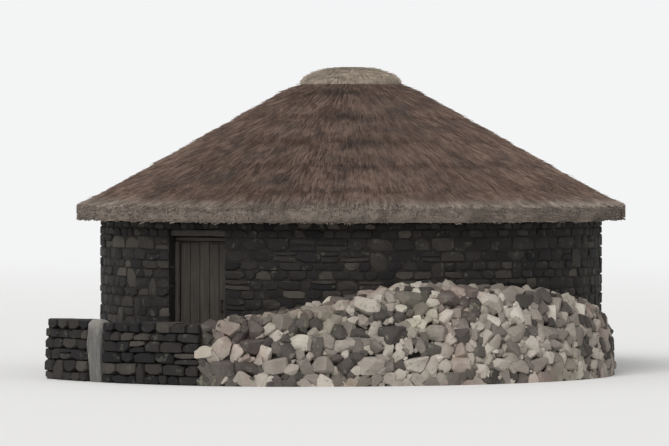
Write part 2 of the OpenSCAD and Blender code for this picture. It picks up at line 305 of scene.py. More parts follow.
class Finish:
    # a material under construction, or the world
    def __init__(self, name, kind=bpy.data.materials):
        self.material = kind.new(name)
        self.material.use_nodes = True
        self.tree = self.material.node_tree
        self.tree.nodes.clear()

    def node(self, kind, settings, inputs, out=0):
        made = self.tree.nodes.new("ShaderNode" + kind)
        for key, value in settings.items():
            if key == "stops":
                self.setRamp(made.color_ramp, value)
            else:
                setattr(made, key, value)
        for key, value in inputs.items():
            if isinstance(value, Pin):
                self.tree.links.new(value.socket, made.inputs[key])
            else:
                made.inputs[key].default_value = value
        return Pin(self, made.outputs[out]) if len(made.outputs) else None

    def setRamp(self, ramp, stops):
        ramp.elements[0].position = stops[0][0]
        ramp.elements[1].position = stops[-1][0]
        for place, colour in stops[1:-1]:
            ramp.elements.new(place)
        for element, (place, colour) in zip(ramp.elements, stops):
            element.color = (*colour, 1)

    def place(self):
        return self.node("TexCoord", {}, {}, "Object")

    def tone(self):
        return self.node("Attribute", {"attribute_name": "tone"}, {}, "Fac")

    def noise(self, vector, scale, detail=3.0, rough=0.55, twist=0.0):
        inputs = {"Vector": vector, "Scale": scale, "Detail": detail}
        inputs.update({"Roughness": rough, "Distortion": twist})
        return self.node("TexNoise", {}, inputs, "Fac")

    def cells(self, vector, scale):
        return self.node("TexVoronoi", {}, {"Vector": vector, "Scale": scale}, "Distance")

    def ramp(self, value, stops):
        return self.node("ValToRGB", {"stops": stops}, {0: value}, "Color")

    def blend(self, factor, first, second, kind="MIX"):
        settings = {"data_type": "RGBA", "blend_type": kind}
        colours = [c if isinstance(c, Pin) else (*c, 1) for c in (first, second)]
        return self.node("Mix", settings, {0: factor, 6: colours[0], 7: colours[1]}, 2)

    def parts(self, vector):
        made = self.node("SeparateXYZ", {}, {0: vector})
        return [Pin(self, made.socket.node.outputs[i]) for i in range(3)]

    def vector(self, x, y, z):
        return self.node("CombineXYZ", {}, {0: x, 1: y, 2: z})

    def polar(self):
        # radius, and the direction as a point on a circle, so that nothing shows a seam
        x, y, z = self.parts(self.place())
        radius = (x * x + y * y + 0.0001) ** 0.5
        return radius, x / radius, y / radius, z

    def close(self, colour, rough, height, depth, metallic=0.0, sheen=0.3):
        inputs = {"Base Color": colour, "Roughness": rough, "Metallic": metallic}
        inputs["Specular IOR Level"] = sheen
        inputs["Normal"] = self.node("Bump", {}, {"Height": height, "Strength": 1.0, "Distance": depth})
        shader = self.node("BsdfPrincipled", {}, inputs)
        self.node("OutputMaterial", {}, {"Surface": shader})
        return self.material


def makeRubble(name, stops, lichen, lichenColour, tints=None, paleAbove=None):
    # tints fall on patches of stones; the last argument is a height, the height where it is full, and a
    # colour, and the stone turns paler above it
    f = Finish(name)
    place = f.place()
    patches = f.noise(place, 5.0, 4.0, 0.6)
    grain = f.noise(place, 70.0, 6.0, 0.7)
    shade = f.tone() * 0.62 + patches * 0.22 + grain * 0.16
    if paleAbove:
        # rain has run down it
        x, y, z = f.parts(place)
        shade = shade + (f.noise(f.vector(x * 30.0, y * 30.0, z * 3.0), 1.0, 4.0, 0.65) - 0.5) * 0.5
    colour = f.ramp(shade, stops)
    pits = f.noise(place, 38.0, 4.0, 0.7).fade(0.44, 0.3)
    shadow = tuple(0.45 + c for c in stops[0][1])
    colour = f.blend(pits * 0.55, colour, shadow, "MULTIPLY")
    if tints:
        for shift, (tint, share) in enumerate(tints):
            where = f.noise(f.vector(*[p + 7.3 * (shift + 1) for p in f.parts(place)]), 1.3, 3.0)
            colour = f.blend(where.fade(0.5, 0.66) * share, colour, tint, "MULTIPLY")
    spots = (f.noise(place, 9.0, 5.0, 0.65) + grain * 0.15).fade(lichen, lichen + 0.07)
    colour = f.blend(spots * 0.7, colour, lichenColour)
    # the stone turns paler towards its top, above the given height
    if paleAbove:
        above = f.parts(place)[2] + (patches - 0.5) * 0.3
        colour = f.blend(above.fade(*paleAbove[:2]), colour, paleAbove[2])
    height = f.noise(place, 22.0, 6.0, 0.65) + grain * 0.35 - pits * 0.2
    return f.close(colour, 0.82 + grain * 0.14, height, 0.012)


def makeMud():
    f = Finish("mudAndPlaster")
    place = f.place()
    radius, east, north, height = f.polar()
    inside = radius.fade(3.05, 2.95)
    clods = f.noise(place, 14.0, 6.0, 0.65)
    smears = f.noise(f.vector(east * 9.0, north * 9.0, height * 11.0), 1.0, 5.0, 0.6, 0.6)
    outer = f.ramp(clods, mudShadedStops)
    plaster = f.ramp(smears, plasterStops)
    smoke = height.fade(1.1, 2.3) * (0.55 + clods * 0.4)
    plaster = f.blend(smoke, plaster, (0.07, 0.052, 0.038))
    colour = f.blend(inside, outer, plaster)
    relief = clods * 0.6 + smears * 0.5 + f.noise(place, 120.0, 3.0) * 0.15
    return f.close(colour, 0.93, relief, 0.014)


def makeEarth(name, dark, light):
    f = Finish(name)
    place = f.place()
    lumps = f.noise(place, 9.0, 6.0, 0.65)
    grit = f.cells(place, 90.0)
    colour = f.ramp(lumps * 0.8 + grit * 0.3, [(0.25, dark), (0.75, light)])
    return f.close(colour, 0.95, lumps + grit * 0.25, 0.012)


def makeThatch(name, stops, damp, litRim=None):
    # the last argument is a second, paler set of colours, which takes over towards the edge of the eave:
    # painted light that the edge of the eave catches
    f = Finish(name)
    radius, east, north, height = f.polar()
    run = radius * 3.0 + height
    fine = f.noise(f.vector(east * 330.0, north * 330.0, run), 1.0, 3.0, 0.6)
    if litRim:
        # cut ends show on the face of the eave
        face = radius.fade(3.528, 3.55)
        ends = f.noise(f.vector(east * 260.0, north * 260.0, height * 60.0), 1.0, 4.0, 0.75)
        fine = fine * (1 - face) + (ends * 2.4 - 0.75) * face
    bundles = f.noise(f.vector(east * 34.0, north * 34.0, run * 0.5), 1.0, 4.0, 0.6)
    patches = f.noise(f.place(), 0.9, 5.0, 0.62)
    shade = f.tone() * 0.34 + fine * 0.3 + bundles * 0.2 + patches * 0.26
    colour = f.ramp(shade, stops)
    if litRim:
        # the outer band of the eave turns paler: painted light on its edge
        edge = (radius + (bundles - 0.5) * 0.25).fade(3.24, 3.52)
        colour = f.blend(edge, colour, f.ramp(shade, litRim))
    stain = (f.noise(f.place(), 2.3, 5.0, 0.65) + bundles * 0.2).fade(0.55, 0.78)
    colour = f.blend(stain * 0.6, colour, damp)
    relief = fine + bundles * 0.8
    return f.close(colour, 0.9, relief, 0.01, sheen=0.2)


def makeWood(name, axis, stops):
    # axis is the coordinate along the grain; radial poles run towards the hut's axis
    f = Finish(name)
    radius, east, north, height = f.polar()
    x, y, z = f.parts(f.place())
    if axis == "z":
        grain = f.vector(x * 95.0, y * 95.0, z * 2.6)
        bands = f.vector(x * 17.0, y * 17.0, z * 0.9)
    elif axis == "x":
        grain = f.vector(x * 2.6, y * 95.0, z * 95.0)
        bands = f.vector(x * 0.9, y * 17.0, z * 17.0)
    elif axis == "radial":
        grain = f.vector(east * 160.0, north * 160.0, radius * 3.0 + height * 30.0)
        bands = f.vector(east * 26.0, north * 26.0, radius + height * 6.0)
    else:
        grain = f.vector(x * 3.0, y * 3.0, radius * 60.0 + height * 90.0)
        bands = f.vector(x * 1.2, y * 1.2, radius * 14.0 + height * 17.0)
    fibre = f.noise(grain, 1.0, 4.0, 0.65, 0.3)
    bands = f.noise(bands, 1.0, 3.0, 0.6, 0.8)
    patches = f.noise(f.place(), 3.0, 4.0)
    shade = f.tone() * 0.2 + fibre * 0.45 + bands * 0.3 + patches * 0.15
    colour = f.ramp(shade, stops)
    checks = fibre.fade(0.36, 0.22)
    colour = f.blend(checks * 0.7, colour, tuple(c * 0.3 for c in stops[0][1]))
    return f.close(colour, 0.78 + fibre * 0.15, fibre + bands * 0.4, 0.006)


def makeIron():
    f = Finish("forgedIron")
    place = f.place()
    scale = f.noise(place, 35.0, 5.0, 0.65)
    rust = (f.noise(place, 14.0, 6.0, 0.7) + scale * 0.2).fade(0.5, 0.72)
    colour = f.blend(rust, (0.035, 0.032, 0.031), (0.13, 0.052, 0.024))
    colour = f.blend(scale.fade(0.6, 0.8) * 0.4, colour, (0.22, 0.1, 0.05))
    return f.close(colour, 0.5 + rust * 0.4, scale, 0.002, metallic=0.75 - rust * 0.7)


# dark basalt, painted darker still: painted shade under the eaves, on the round wall and the low wall
wallShadedStops = [
    (0.18, (0.006, 0.0055, 0.006)),
    (0.4, (0.013, 0.0115, 0.0115)),
    (0.6, (0.026, 0.0225, 0.0205)),
    (0.85, (0.075, 0.066, 0.056)),
]
# the mud on the outer face: dark joints, painted darker still as shade under the eaves
mudShadedStops = [
    (0.3, (0.007, 0.006, 0.0053)),
    (0.7, (0.024, 0.02, 0.017)),
]
plasterStops = [
    (0.25, (0.2, 0.145, 0.095)),
    (0.55, (0.29, 0.215, 0.145)),
    (0.8, (0.35, 0.27, 0.19)),
]
bankStops = [
    (0.12, (0.03, 0.027, 0.025)),
    (0.3, (0.09, 0.078, 0.069)),
    (0.46, (0.22, 0.192, 0.166)),
    (0.64, (0.4, 0.355, 0.305)),
    (0.85, (0.62, 0.57, 0.5)),
]
slabStops = [
    (0.15, (0.04, 0.038, 0.037)),
    (0.5, (0.115, 0.11, 0.105)),
    (0.85, (0.23, 0.22, 0.205)),
]
thatchStops = [
    (0.22, (0.044, 0.029, 0.023)),
    (0.42, (0.104, 0.07, 0.055)),
    (0.58, (0.182, 0.124, 0.098)),
    (0.8, (0.34, 0.245, 0.19)),
]
# paler colours for the edge of the eave: painted light that the edge catches
eaveLitStops = [
    (0.2, (0.08, 0.064, 0.053)),
    (0.42, (0.19, 0.156, 0.13)),
    (0.6, (0.3, 0.25, 0.21)),
    (0.82, (0.46, 0.395, 0.33)),
]
# the cap's colours are paler than the roof's: painted sunlight on the top of the roof
capSunlitStops = [
    (0.2, (0.13, 0.103, 0.08)),
    (0.42, (0.3, 0.247, 0.195)),
    (0.6, (0.45, 0.38, 0.305)),
    (0.82, (0.62, 0.54, 0.44)),
]
# grey weathered wood, painted darker still as shade under the eaves; for the door, its frame and the lintel
plankShadedStops = [
    (0.25, (0.012, 0.01, 0.0085)),
    (0.5, (0.038, 0.033, 0.028)),
    (0.75, (0.09, 0.079, 0.068)),
]
poleStops = [
    (0.25, (0.02, 0.014, 0.009)),
    (0.5, (0.07, 0.048, 0.03)),
    (0.78, (0.17, 0.12, 0.075)),
]
greenAndPurple = [((0.86, 0.92, 0.8), 0.6), ((0.96, 0.82, 0.82), 0.7)]
paleTop = (0.6, 0.8, (0.27, 0.255, 0.23))
lichenFrom = 0.66
finishes = {
    "wallStone": makeRubble("splitBasalt", wallShadedStops, lichenFrom, (0.07, 0.072, 0.056)),
    "bankStone": makeRubble("fieldStone", bankStops, lichenFrom, (0.2, 0.2, 0.15), tints=greenAndPurple),
    "paleSlab": makeRubble("paleSlab", slabStops, lichenFrom, (0.2, 0.2, 0.16), paleAbove=paleTop),
    "mud": makeMud(),
    "soil": makeEarth("bankSoil", (0.01, 0.0085, 0.0073), (0.04, 0.033, 0.027)),
    "floor": makeEarth("beatenFloor", (0.12, 0.085, 0.055), (0.26, 0.19, 0.125)),
    "thatch": makeThatch("weatheredThatch", thatchStops, (0.06, 0.05, 0.048)),
    "eave": makeThatch("paleEaveThatch", thatchStops, (0.1, 0.083, 0.07), eaveLitStops),
    "cap": makeThatch("capThatch", capSunlitStops, (0.22, 0.19, 0.15)),
    "plank": makeWood("weatheredPlank", "z", plankShadedStops),
    "beam": makeWood("hewnBeam", "x", plankShadedStops),
    "rafter": makeWood("smokedPole", "radial", poleStops),
    "hoop": makeWood("bentSapling", "round", poleStops),
    "iron": makeIron(),
}
print("materials made")


# Stones: a few are modelled, and each cell of the masonry takes a copy of one, fitted to its corners

stoneLook = {
    "kinds": 12,
    "bevel": 0.085,
    "rough": 0.04,
    "chips": 2,
    "chipFront": (0.5, 1.1),  # how far a break leans to the front
    "chipAt": (0.58, 0.66),  # its distance from the middle of the stone
    "weld": 0.02,
}


def modelStone(seed):
    rng = random.Random(seed)
    stone = startBlock(stoneLook["bevel"])
    for chip in range(stoneLook["chips"]):
        # a split corner or edge on the front half
        front = stoneLook["chipFront"]
        away = Vector((rng.choice((-1, 1)), rng.uniform(*front), rng.choice((-1, 1)))).normalized()
        cut(away * rng.uniform(*stoneLook["chipAt"]), away, clear=True)
    bpy.ops.mesh.select_all(action="SELECT")
    bpy.ops.mesh.remove_doubles(threshold=stoneLook["weld"])
    bpy.ops.transform.vertex_random(offset=stoneLook["rough"], seed=seed)
    finishBlock()
    return fitUnit(stone)


stones = [modelStone(seed) for seed in range(1, stoneLook["kinds"] + 1)]
print("stones modelled:", [len(s["faces"]) for s in stones])


def fillCourse(rng, start, end, height, below, look):
    # the upright joints of one course, kept off the joints below
    joints = [start]
    shortest = look["lengths"][0] * height
    while end - joints[-1] > look["lengths"][1] * height:
        best = None
        for attempt in range(6):
            step = height * rng.triangular(look["lengths"][0], look["lengths"][1], look["usual"])
            step = min(max(step, look["least"]), look["most"])
            clear = min([abs(joints[-1] + step - b) for b in below] or [1.0])
            if best is None or clear > best[0]:
                best = (clear, step)
            if clear > look["bond"]:
                break
        joints.append(joints[-1] + best[1])
    if end - joints[-1] < shortest and len(joints) > 1:
        joints.pop()
    if end - joints[-1] > look["lengths"][1] * height:
        joints.append((joints[-1] + end) / 2)
    joints.append(end)
    return joints


def courseLines(rng, low, high, look):
    heights = []
    while sum(heights) < high - low:
        heights.append(rng.uniform(*look["courses"]))
    share = (high - low) / sum(heights)
    return [low] + [low + share * sum(heights[: i + 1]) for i in range(len(heights))]


def waveAt(s, line, look, radius):
    # the lines between courses wander a little
    turn = s / radius
    at = Vector((math.cos(turn) * radius, math.sin(turn) * radius, line * 3.7))
    return look["wander"] * noise.noise(at * 1.6)


def layFace(rng, look, lines, start, end):
    # all the cells of a run of courses: corners along the arc and up the wall
    cells = []
    below = []
    taken = []
    for k in range(len(lines) - 1):
        low, high = lines[k], lines[k + 1]
        blocked = sorted(taken)
        taken = []
        runs = []
        at = start(low)
        last = end(low)
        for a, b in blocked:
            if a > at + 0.02:
                runs.append((at, a))
            at = max(at, b)
        if last > at + 0.02:
            runs.append((at, last))
        joints = []
        for a, b in runs:
            row = fillCourse(rng, a, b, high - low, below, look)
            lean = [0.0] + [rng.uniform(-1, 1) * look["lean"] for j in row[1:-1]] + [0.0]
            for i in range(len(row) - 1):
                tall = (
                    k < len(lines) - 2
                    and lines[k + 2] <= look["tallUnder"]
                    and row[i + 1] - row[i] < look["tallMost"]
                    and 0 < i < len(row) - 2
                    and rng.random() < look["tall"]
                )
                top = k + 2 if tall else k + 1
                left, right = row[i], row[i + 1]
                cell = {
                    "s": [left - lean[i], right - lean[i + 1], left + lean[i], right + lean[i + 1]],
                    "lines": (k, top),
                    "low": lines[k],
                    "high": lines[top],
                    "edge": (i == 0 and a == start(low)) or (i == len(row) - 2 and b == last),
                }
                if tall:
                    cell["s"] = [left, right, left, right]
                    taken.append((left, right))
                wide = right - left > look["splitWide"] * (high - low) and high - low > look["splitOver"]
                if wide and not tall and rng.random() < look["split"]:
                    share = rng.uniform(*look["splitAt"])
                    cells.append({**cell, "slab": (0.0, share)})
                    cells.append({**cell, "slab": (share, 1.0)})
                else:
                    cells.append({**cell, "slab": (0.0, 1.0)})
            joints += row
        below = joints
    return cells


def layStone(heap, rng, cell, look, radius, side=1, lean=0.0, square=False):
    # side is -1 on a face that looks inwards, and a square stone is a corner at the doorway
    shape = rng.choice(stones)
    points = shape["points"]
    flip = rng.choice((1, -1))  # half a turn about the outward direction
    a = points[:, 0] * flip * side + 0.5
    b = points[:, 2] * flip + 0.5
    s00, s10, s01, s11 = cell["s"]
    s = (1 - b) * ((1 - a) * s00 + a * s10) + b * ((1 - a) * s01 + a * s11)
    mid = sum(cell["s"]) / 4
    length = (s10 - s00 + s11 - s01) / 2
    gap = look["joint"] * rng.uniform(*look["upright"])
    s = mid + (s - mid) * (1 - gap / length)
    k0, k1 = cell["lines"]
    edges = []
    wavy = (cell["low"] > 0, cell["high"] < look["flatTop"])
    for line, level, waves in zip((k0, k1), (cell["low"], cell["high"]), wavy):
        left, right = (waveAt(x, line, look, radius) if waves else 0.0 for x in (s00, s10))
        edges.append(level + (1 - a) * left + a * right)
    low, high = edges
    u0, u1 = cell["slab"]
    high, low = low + (high - low) * u1, low + (high - low) * u0
    half = (high - low) / 2
    z = low + half + (b - 0.5) * 2 * (half - look["joint"] * rng.uniform(*look["level"]))
    proud = rng.uniform(*look["proud"])
    depth = look["depth"]
    if square:
        x = radius * np.sin(s / radius)
        front = -np.sqrt(radius**2 - x**2) - proud
        placed = np.stack([x, front + (0.5 - points[:, 1]) * depth, z], 1)
    else:
        r = radius + side * (proud + (points[:, 1] - 0.5) * depth) - side * lean * z
        turn = hut["doorTurn"] + s / radius
        placed = np.stack([r * np.cos(turn), r * np.sin(turn), z], 1)
    shade = rng.gauss(0.5, look["contrast"])
    faces = shape["faces"][:, ::-1]  # the wall's own directions mirror the stone
    heap.lay(placed, faces, np.full(len(placed), shade))


# The round wall

wallLook = {
    "seed": 7,
    "courses": (0.105, 0.185),
    "lengths": (1.0, 2.9),  # in heights of the course
    "usual": 1.6,
    "least": 0.1,
    "most": 0.46,
    "bond": 0.045,
    "wander": 0.022,
    "lean": 0.014,
    "tall": 0.09,
    "tallMost": 0.27,
    "tallUnder": 1.79,
    "split": 0.28,  # the share of wide stones that are two thin ones
    "splitOver": 0.13,
    "splitWide": 1.7,
    "splitAt": (0.4, 0.6),
    "joint": 0.011,
    "upright": (0.6, 1.3),  # upright and level joints, as shares of it
    "level": (0.35, 0.6),
    "proud": (0.006, 0.027),
    "depth": 0.11,
    "flatTop": 1.9,  # from here up the courses run level
    "contrast": 0.22,
    "buried": 0.16,  # no stone lies this far under the top of the bank
    "quoinDepth": 0.15,
    "jamb": 0.442,
}
bankPlan = [  # direction, height, foot and shoulder, as in the part
    (281.5, 0.76, 1.17, 0.9),
    (291, 0.852, 1.088, 0.66),
    (302, 0.996, 0.936, 0.42),
    (317, 1.2, 0.819, 0.36),
    (331, 1.2, 0.725, 0.36),
    (350, 1.128, 0.585, 0.42),
    (372, 0.93, 0.398, 0.46),
    (392, 0.42, 0.129, 0.6),
]


def bankSection(turn):
    directions = [row[0] for row in bankPlan]
    high, foot, shoulder = (np.interp(turn, directions, [row[i] for row in bankPlan]) for i in (1, 2, 3))
    shoulder = foot * shoulder
    r = hut["wallRadius"]
    waist = r + foot * 0.6 + shoulder * 0.4
    return [(r + foot, 0.0), (waist, high * 0.5), (r + shoulder, high * 0.94), (r, high)]


def bankTop(turn):
    turn = turn % 360
    for shifted in (turn, turn + 360):
        if bankPlan[0][0] <= shifted <= bankPlan[-1][0]:
            return float(np.interp(shifted, [row[0] for row in bankPlan], [row[1] for row in bankPlan]))
    return 0.0


segments = [
    "right_of_door", "front_right", "right", "back_right", "back_mid_right",
    "back_mid_left", "back_left", "left", "front_left", "left_of_door",
]


def buildWall():
    rng = random.Random(wallLook["seed"])
    radius = hut["wallRadius"]
    around = 2 * math.pi * radius
    jamb = radius * math.asin(wallLook["jamb"] / radius)
    heaps = [Heap() for s in segments]
    lines = courseLines(rng, 0.0, hut["doorHead"], wallLook) + [hut["overDoor"], hut["wallHeight"]]
    above = hut["overDoor"] - 0.01

    def start(low):
        return 0.0 if low > above else jamb

    def end(low):
        return around if low > above else around - jamb

    cells = layFace(rng, wallLook, lines, start, end)
    count = 0
    for cell in cells:
        mid = sum(cell["s"]) / 4
        turn = math.degrees(mid / radius)
        if cell["high"] < bankTop(turn + 270) - wallLook["buried"]:
            continue
        heap = heaps[int(turn // 36) % 10]
        quoin = cell["edge"] and cell["low"] < above
        look = {**wallLook, "depth": wallLook["quoinDepth"]} if quoin else wallLook
        if quoin and turn > 180:
            cell["s"] = [x - around for x in cell["s"]]
        layStone(heap, rng, cell, look, radius, square=quoin)
        count += 1
    for name, heap in zip(segments, heaps):
        heap.build("wall_stones_" + name, finishes["wallStone"], "dark_stone", smooth=38)
    print("wall stones laid:", count)


buildWall()


# The low forecourt wall: dry stone on both faces round a dark core

lowLook = {
    **wallLook,
    "seed": 21,
    "inner": 4.0,
    "outer": 4.42,
    "from": 245.0,
    "to": 281.5,
    "high": 0.78,
    "coping": 0.64,
    "batter": 0.022,
    "slabTurn": 260.0,
    "slabWidth": 0.27,
    "courses": (0.1, 0.17),
    "depth": 0.2,
    "joint": 0.007,
    "proud": (-0.02, -0.003),
    "tallUnder": 0.6,
    "flatTop": 0.7,
    "contrast": 0.24,
    "slabGap": 0.008,
    "copingDepth": 0.38,
    "copingIn": (-0.032, -0.02),  # the top stones stay inside the wall's faces
    "copingUneven": 0.03,
    "coreFrom": 0.25,
    "coreTurns": (246.2, 247.5),  # the core is fuller at the open end, so that no daylight shows there
    "coreInset": (0.045, 0.1),
    "coreSide": ((0.0, 0.0), (0.02, 0.3), (0.03, 0.68)),  # how far further in, and at what height
    "coreRough": 0.012,
}


def arcAt(turn, radius):
    return math.radians(turn - 270) * radius


def buildLowWall():
    look = lowLook
    rng = random.Random(look["seed"])
    heap = Heap()
    slabHalf = look["slabWidth"] / 2 + look["slabGap"]
    lines = courseLines(rng, 0.0, look["coping"], look) + [look["high"]]
    lean = look["batter"] / look["high"]
    for radius, side in ((look["outer"], 1), (look["inner"], -1)):
        slab = math.degrees(slabHalf / radius)
        for a, b in ((look["from"] + 0.1, look["slabTurn"] - slab), (look["slabTurn"] + slab, look["to"])):
            first, last = arcAt(a, radius), arcAt(b, radius)
            for cell in layFace(rng, look, lines[:-1], lambda low: first, lambda low: last):
                layStone(heap, rng, cell, look, radius, side, lean)
            if side < 0:
                continue
            # the top course runs through from face to face
            through = {**look, "depth": look["copingDepth"], "proud": look["copingIn"], "flatTop": 0.0}
            through["lengths"] = (1.0, 2.2)
            row = fillCourse(rng, first, last, lines[-1] - lines[-2], [], through)
            for left, right in zip(row, row[1:]):
                cell = {
                    "s": [left, right, left, right],
                    "lines": (len(lines) - 2, len(lines) - 1),
                    "low": lines[-2],
                    "high": lines[-1] - rng.uniform(0, look["copingUneven"]),
                    "slab": (0.0, 1.0),
                }
                layStone(heap, rng, cell, through, radius, side, lean)
    heap.build("low_wall_stones", finishes["wallStone"], "dark_stone", smooth=38)
    rings = []
    for turn in np.radians(np.linspace(look["from"] + look["coreFrom"], look["to"], 60)):
        inset = np.interp(math.degrees(turn), look["coreTurns"], look["coreInset"])
        outer = [(look["outer"] - inset - more, z) for more, z in look["coreSide"]]
        inner = [(look["inner"] + inset + more, z) for more, z in look["coreSide"]]
        ring = []
        for r, z in inner[:1] + outer + inner[:0:-1]:
            spot = Vector((math.cos(turn) * 30, math.sin(turn) * 30, z * 9 + r))
            ring.append((r + look["coreRough"] * noise.noise(spot), z))
        rings.append(spun(ring, turn))
    replaced = ("low_wall_end", "low_wall_middle", "low_wall_root")
    standIn("low_wall_core", rings, False, 0.4, finishes["soil"], "dark_stone", 50, *replaced)


slabLook = {
    "high": 0.785,
    "deep": 0.4,
    "chips": [  # a point on each cut, as shares of the width, depth and height, and the way it faces
        ((-0.16, 0.5, 0.5), (-0.62, 0.15, 0.75)),
        ((0.34, 0.5, 0.5), (0.7, 0.1, 0.6)),
        ((0.0, 0.2, 0.5), (0.08, -0.42, 0.9)),
        ((0.1, 0.5, 0.47), (0.2, 0.5, 0.8)),
        ((-0.47, 0.5, 0.2), (-0.8, 0.55, 0.12)),
        ((-0.5, 0.42, -0.1), (-0.75, 0.6, -0.1)),
        ((0.5, 0.43, 0.15), (0.8, 0.6, 0.08)),
        ((0.42, 0.5, -0.3), (0.6, 0.8, -0.08)),
        ((0.0, 0.485, 0.28), (0.04, 1.0, 0.12)),
        ((0.2, 0.49, -0.2), (-0.05, 1.0, -0.06)),
        ((-0.49, 0.0, 0.1), (-1.0, 0.05, 0.06)),
    ],
    "rough": 0.005,
    "cell": 0.05,
    "weld": 0.004,
}


def buildSlab():
    # the pale upright stone: split faces, broken corners, and a top that drops towards its back
    look = slabLook
    turn = math.radians(lowLook["slabTurn"])
    out = Vector((math.cos(turn), math.sin(turn), 0))
    along = Vector((-math.sin(turn), math.cos(turn), 0))
    size = Vector((lowLook["slabWidth"] - 0.006, look["deep"], look["high"]))
    slab = startBlock(None, scale=size)
    slab.name = slab.data.name = "upright_slab"
    for spot, facing in look["chips"]:
        cut([s * v for s, v in zip(spot, size)], facing, clear=True)
    cutEvenly(-size / 2, size, look["cell"])
    finishBlock(look["weld"])
    placed = []
    middle = (lowLook["inner"] + lowLook["outer"]) / 2
    for point in getPoints(slab):
        side, deep, high = point
        grain = look["rough"] * (ripple(point, 14.0, 3.0) + 0.6 * ripple(point, 41.0, 5.0) - 0.8)
        at = out * (middle + deep + grain * math.copysign(1, deep))
        at += along * (side + grain * math.copysign(1, side))
        foot = high < 0.001 - size.z / 2
        placed.append((at.x, at.y, 0.0 if foot else high + size.z / 2 + grain * (1 if high > 0 else 0)))
    setPoints(slab, np.array(placed))
    faceOut(slab)
    setTone(slab, 0.6)
    dress(slab, finishes["paleSlab"], smooth=16)
    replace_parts(slab, "upright_stone")


buildLowWall()
buildSlab()
print("low wall laid")


# The bank of loose field stones

bankLook = {
    "seed": 33,
    "kinds": 16,
    "sizes": (0.2, 0.055),
    "tries": 40000,
    "most": 2200,
    "space": 0.78,
    "proud": 0.3,  # how much of a stone stands over the bank's face
    "inset": 0.05,
    "pale": (0.65, 0.16),
    "dark": (0.16, 0.1),
    "darkShare": 0.3,
    "shadowDarkShare": 0.75,  # the share of dark stones beside the low wall, raised there as a painted shadow of the hut
    "shadowFadeTo": 303.0,
    "bevel": 0.1,
    "rough": 0.04,
    "chips": 6,
    "chipAt": (0.42, 0.56),
    "weld": 0.03,
    "tumble": 0.3,  # how far a stone leans from the bank's face
    "extents": ((1.0, 1.45), (0.8, 1.1), (0.55, 0.9)),  # length, width and thickness, in sizes
}
bankEnds = (281.5, 306, 331, 358, 392)  # the directions at which the bank's four parts meet
boulderLook = {  # the rows of main boulders, as in the part
    "rows": 3,
    "turn": 8.0,
    "width": 0.42,
    "block": (0.8, 1.0, 0.62),
    "least": 0.35,
    "low": 0.1,
    "in": 0.2,
    "topRow": 0.86,
    "yaw": 40.0,
    "tilt": 12.0,
}


def modelBoulder(seed):
    # a split field stone: a block with its corners and edges broken off
    rng = random.Random(seed)
    stone = startBlock(bankLook["bevel"])
    bpy.ops.transform.vertex_random(offset=bankLook["rough"], seed=seed)
    for chip in range(bankLook["chips"]):
        away = Vector([rng.choice((-1, 1)) * rng.uniform(0.15, 1) for i in range(3)]).normalized()
        cut(away * rng.uniform(*bankLook["chipAt"]), away, clear=True)
    finishBlock(bankLook["weld"])
    faceOut(stone)
    return fitUnit(stone)


def bankSpot(turn, share):
    # a point on the bank's face, with its direction outwards, at a share of the way up
    section = bankSection(turn)
    steps = [math.dist(a, b) for a, b in zip(section, section[1:])]
    at = share * sum(steps)
    for (a, b), step in zip(zip(section, section[1:]), steps):
        if at <= step:
            part = at / step
            r, z = (a[i] + (b[i] - a[i]) * part for i in (0, 1))
            return r, z, (b[1] - a[1]) / step, (a[0] - b[0]) / step
        at -= step
    return section[-1][0], section[-1][1], 0.0, 1.0


def mainBoulders():
    # the places and turns of the main boulders, worked out as in the part
    look = boulderLook
    half = math.hypot(*look["block"]) / 2
    places = []
    for i, (first, last) in enumerate(zip(bankEnds, bankEnds[1:])):
        many = int((last - first) // look["turn"])
        for row in range(look["rows"]):
            for k in range(many - row % 2):
                turn = first + (last - first) * (k + 0.5 + 0.5 * (row % 2)) / many
                section = bankSection(turn)
                foot, waist, shoulder = (p[0] - hut["wallRadius"] for p in section[:3])
                high = section[3][1]
                narrow = look["least"] + (1 - look["least"]) * foot / bankPlan[0][2]
                w = look["width"] * narrow * min(1, high / 1.2 + look["low"])
                low = half * w
                z = low + (look["topRow"] * high - low) * row / (look["rows"] - 1)
                out = float(np.interp(z / high, [0, 0.5, 0.94], [foot, waist, shoulder]))
                r = hut["wallRadius"] + out - look["in"] * w
                margin = math.degrees(math.asin(low / r))
                if r - low <= hut["wallRadius"] or turn - margin <= first or turn + margin >= last:
                    continue
                tilts = (
                    look["tilt"] * math.sin(math.radians(71 * k + 143 * row)),
                    look["tilt"] * math.cos(math.radians(97 * k + 59 * row)),
                    look["yaw"] * math.sin(math.radians(131 * k + 83 * row + 30 * i)),
                )
                places.append({"bank": i, "turn": turn, "r": r, "z": z, "width": w, "tilts": tilts})
    return places


def bankToneAndShadow(rng, turn):
    # pale field stones and some dark ones; the more and more dark ones towards the low wall are a painted
    # shadow of the hut
    share = np.interp(turn, [bankEnds[0], bankLook["shadowFadeTo"]], [bankLook["shadowDarkShare"], bankLook["darkShare"]])
    mean, spread = bankLook["dark"] if rng.random() < share else bankLook["pale"]
    return min(0.98, max(0.02, rng.gauss(mean, spread)))


def layBoulder(heap, rng, place, shape):
    tilt = Euler([math.radians(t) for t in place["tilts"]]).to_matrix()
    size = [place["width"] * share * 0.99 for share in boulderLook["block"]]
    local = (shape["points"] * size) @ np.array(tilt).T + (place["r"], 0.0, place["z"])
    a = math.radians(place["turn"])
    spin = np.array([[math.cos(a), -math.sin(a), 0], [math.sin(a), math.cos(a), 0], [0, 0, 1]])
    placed = local @ spin.T
    heap.lay(placed, shape["faces"], np.full(len(placed), bankToneAndShadow(rng, place["turn"])))
    return placed.mean(0)


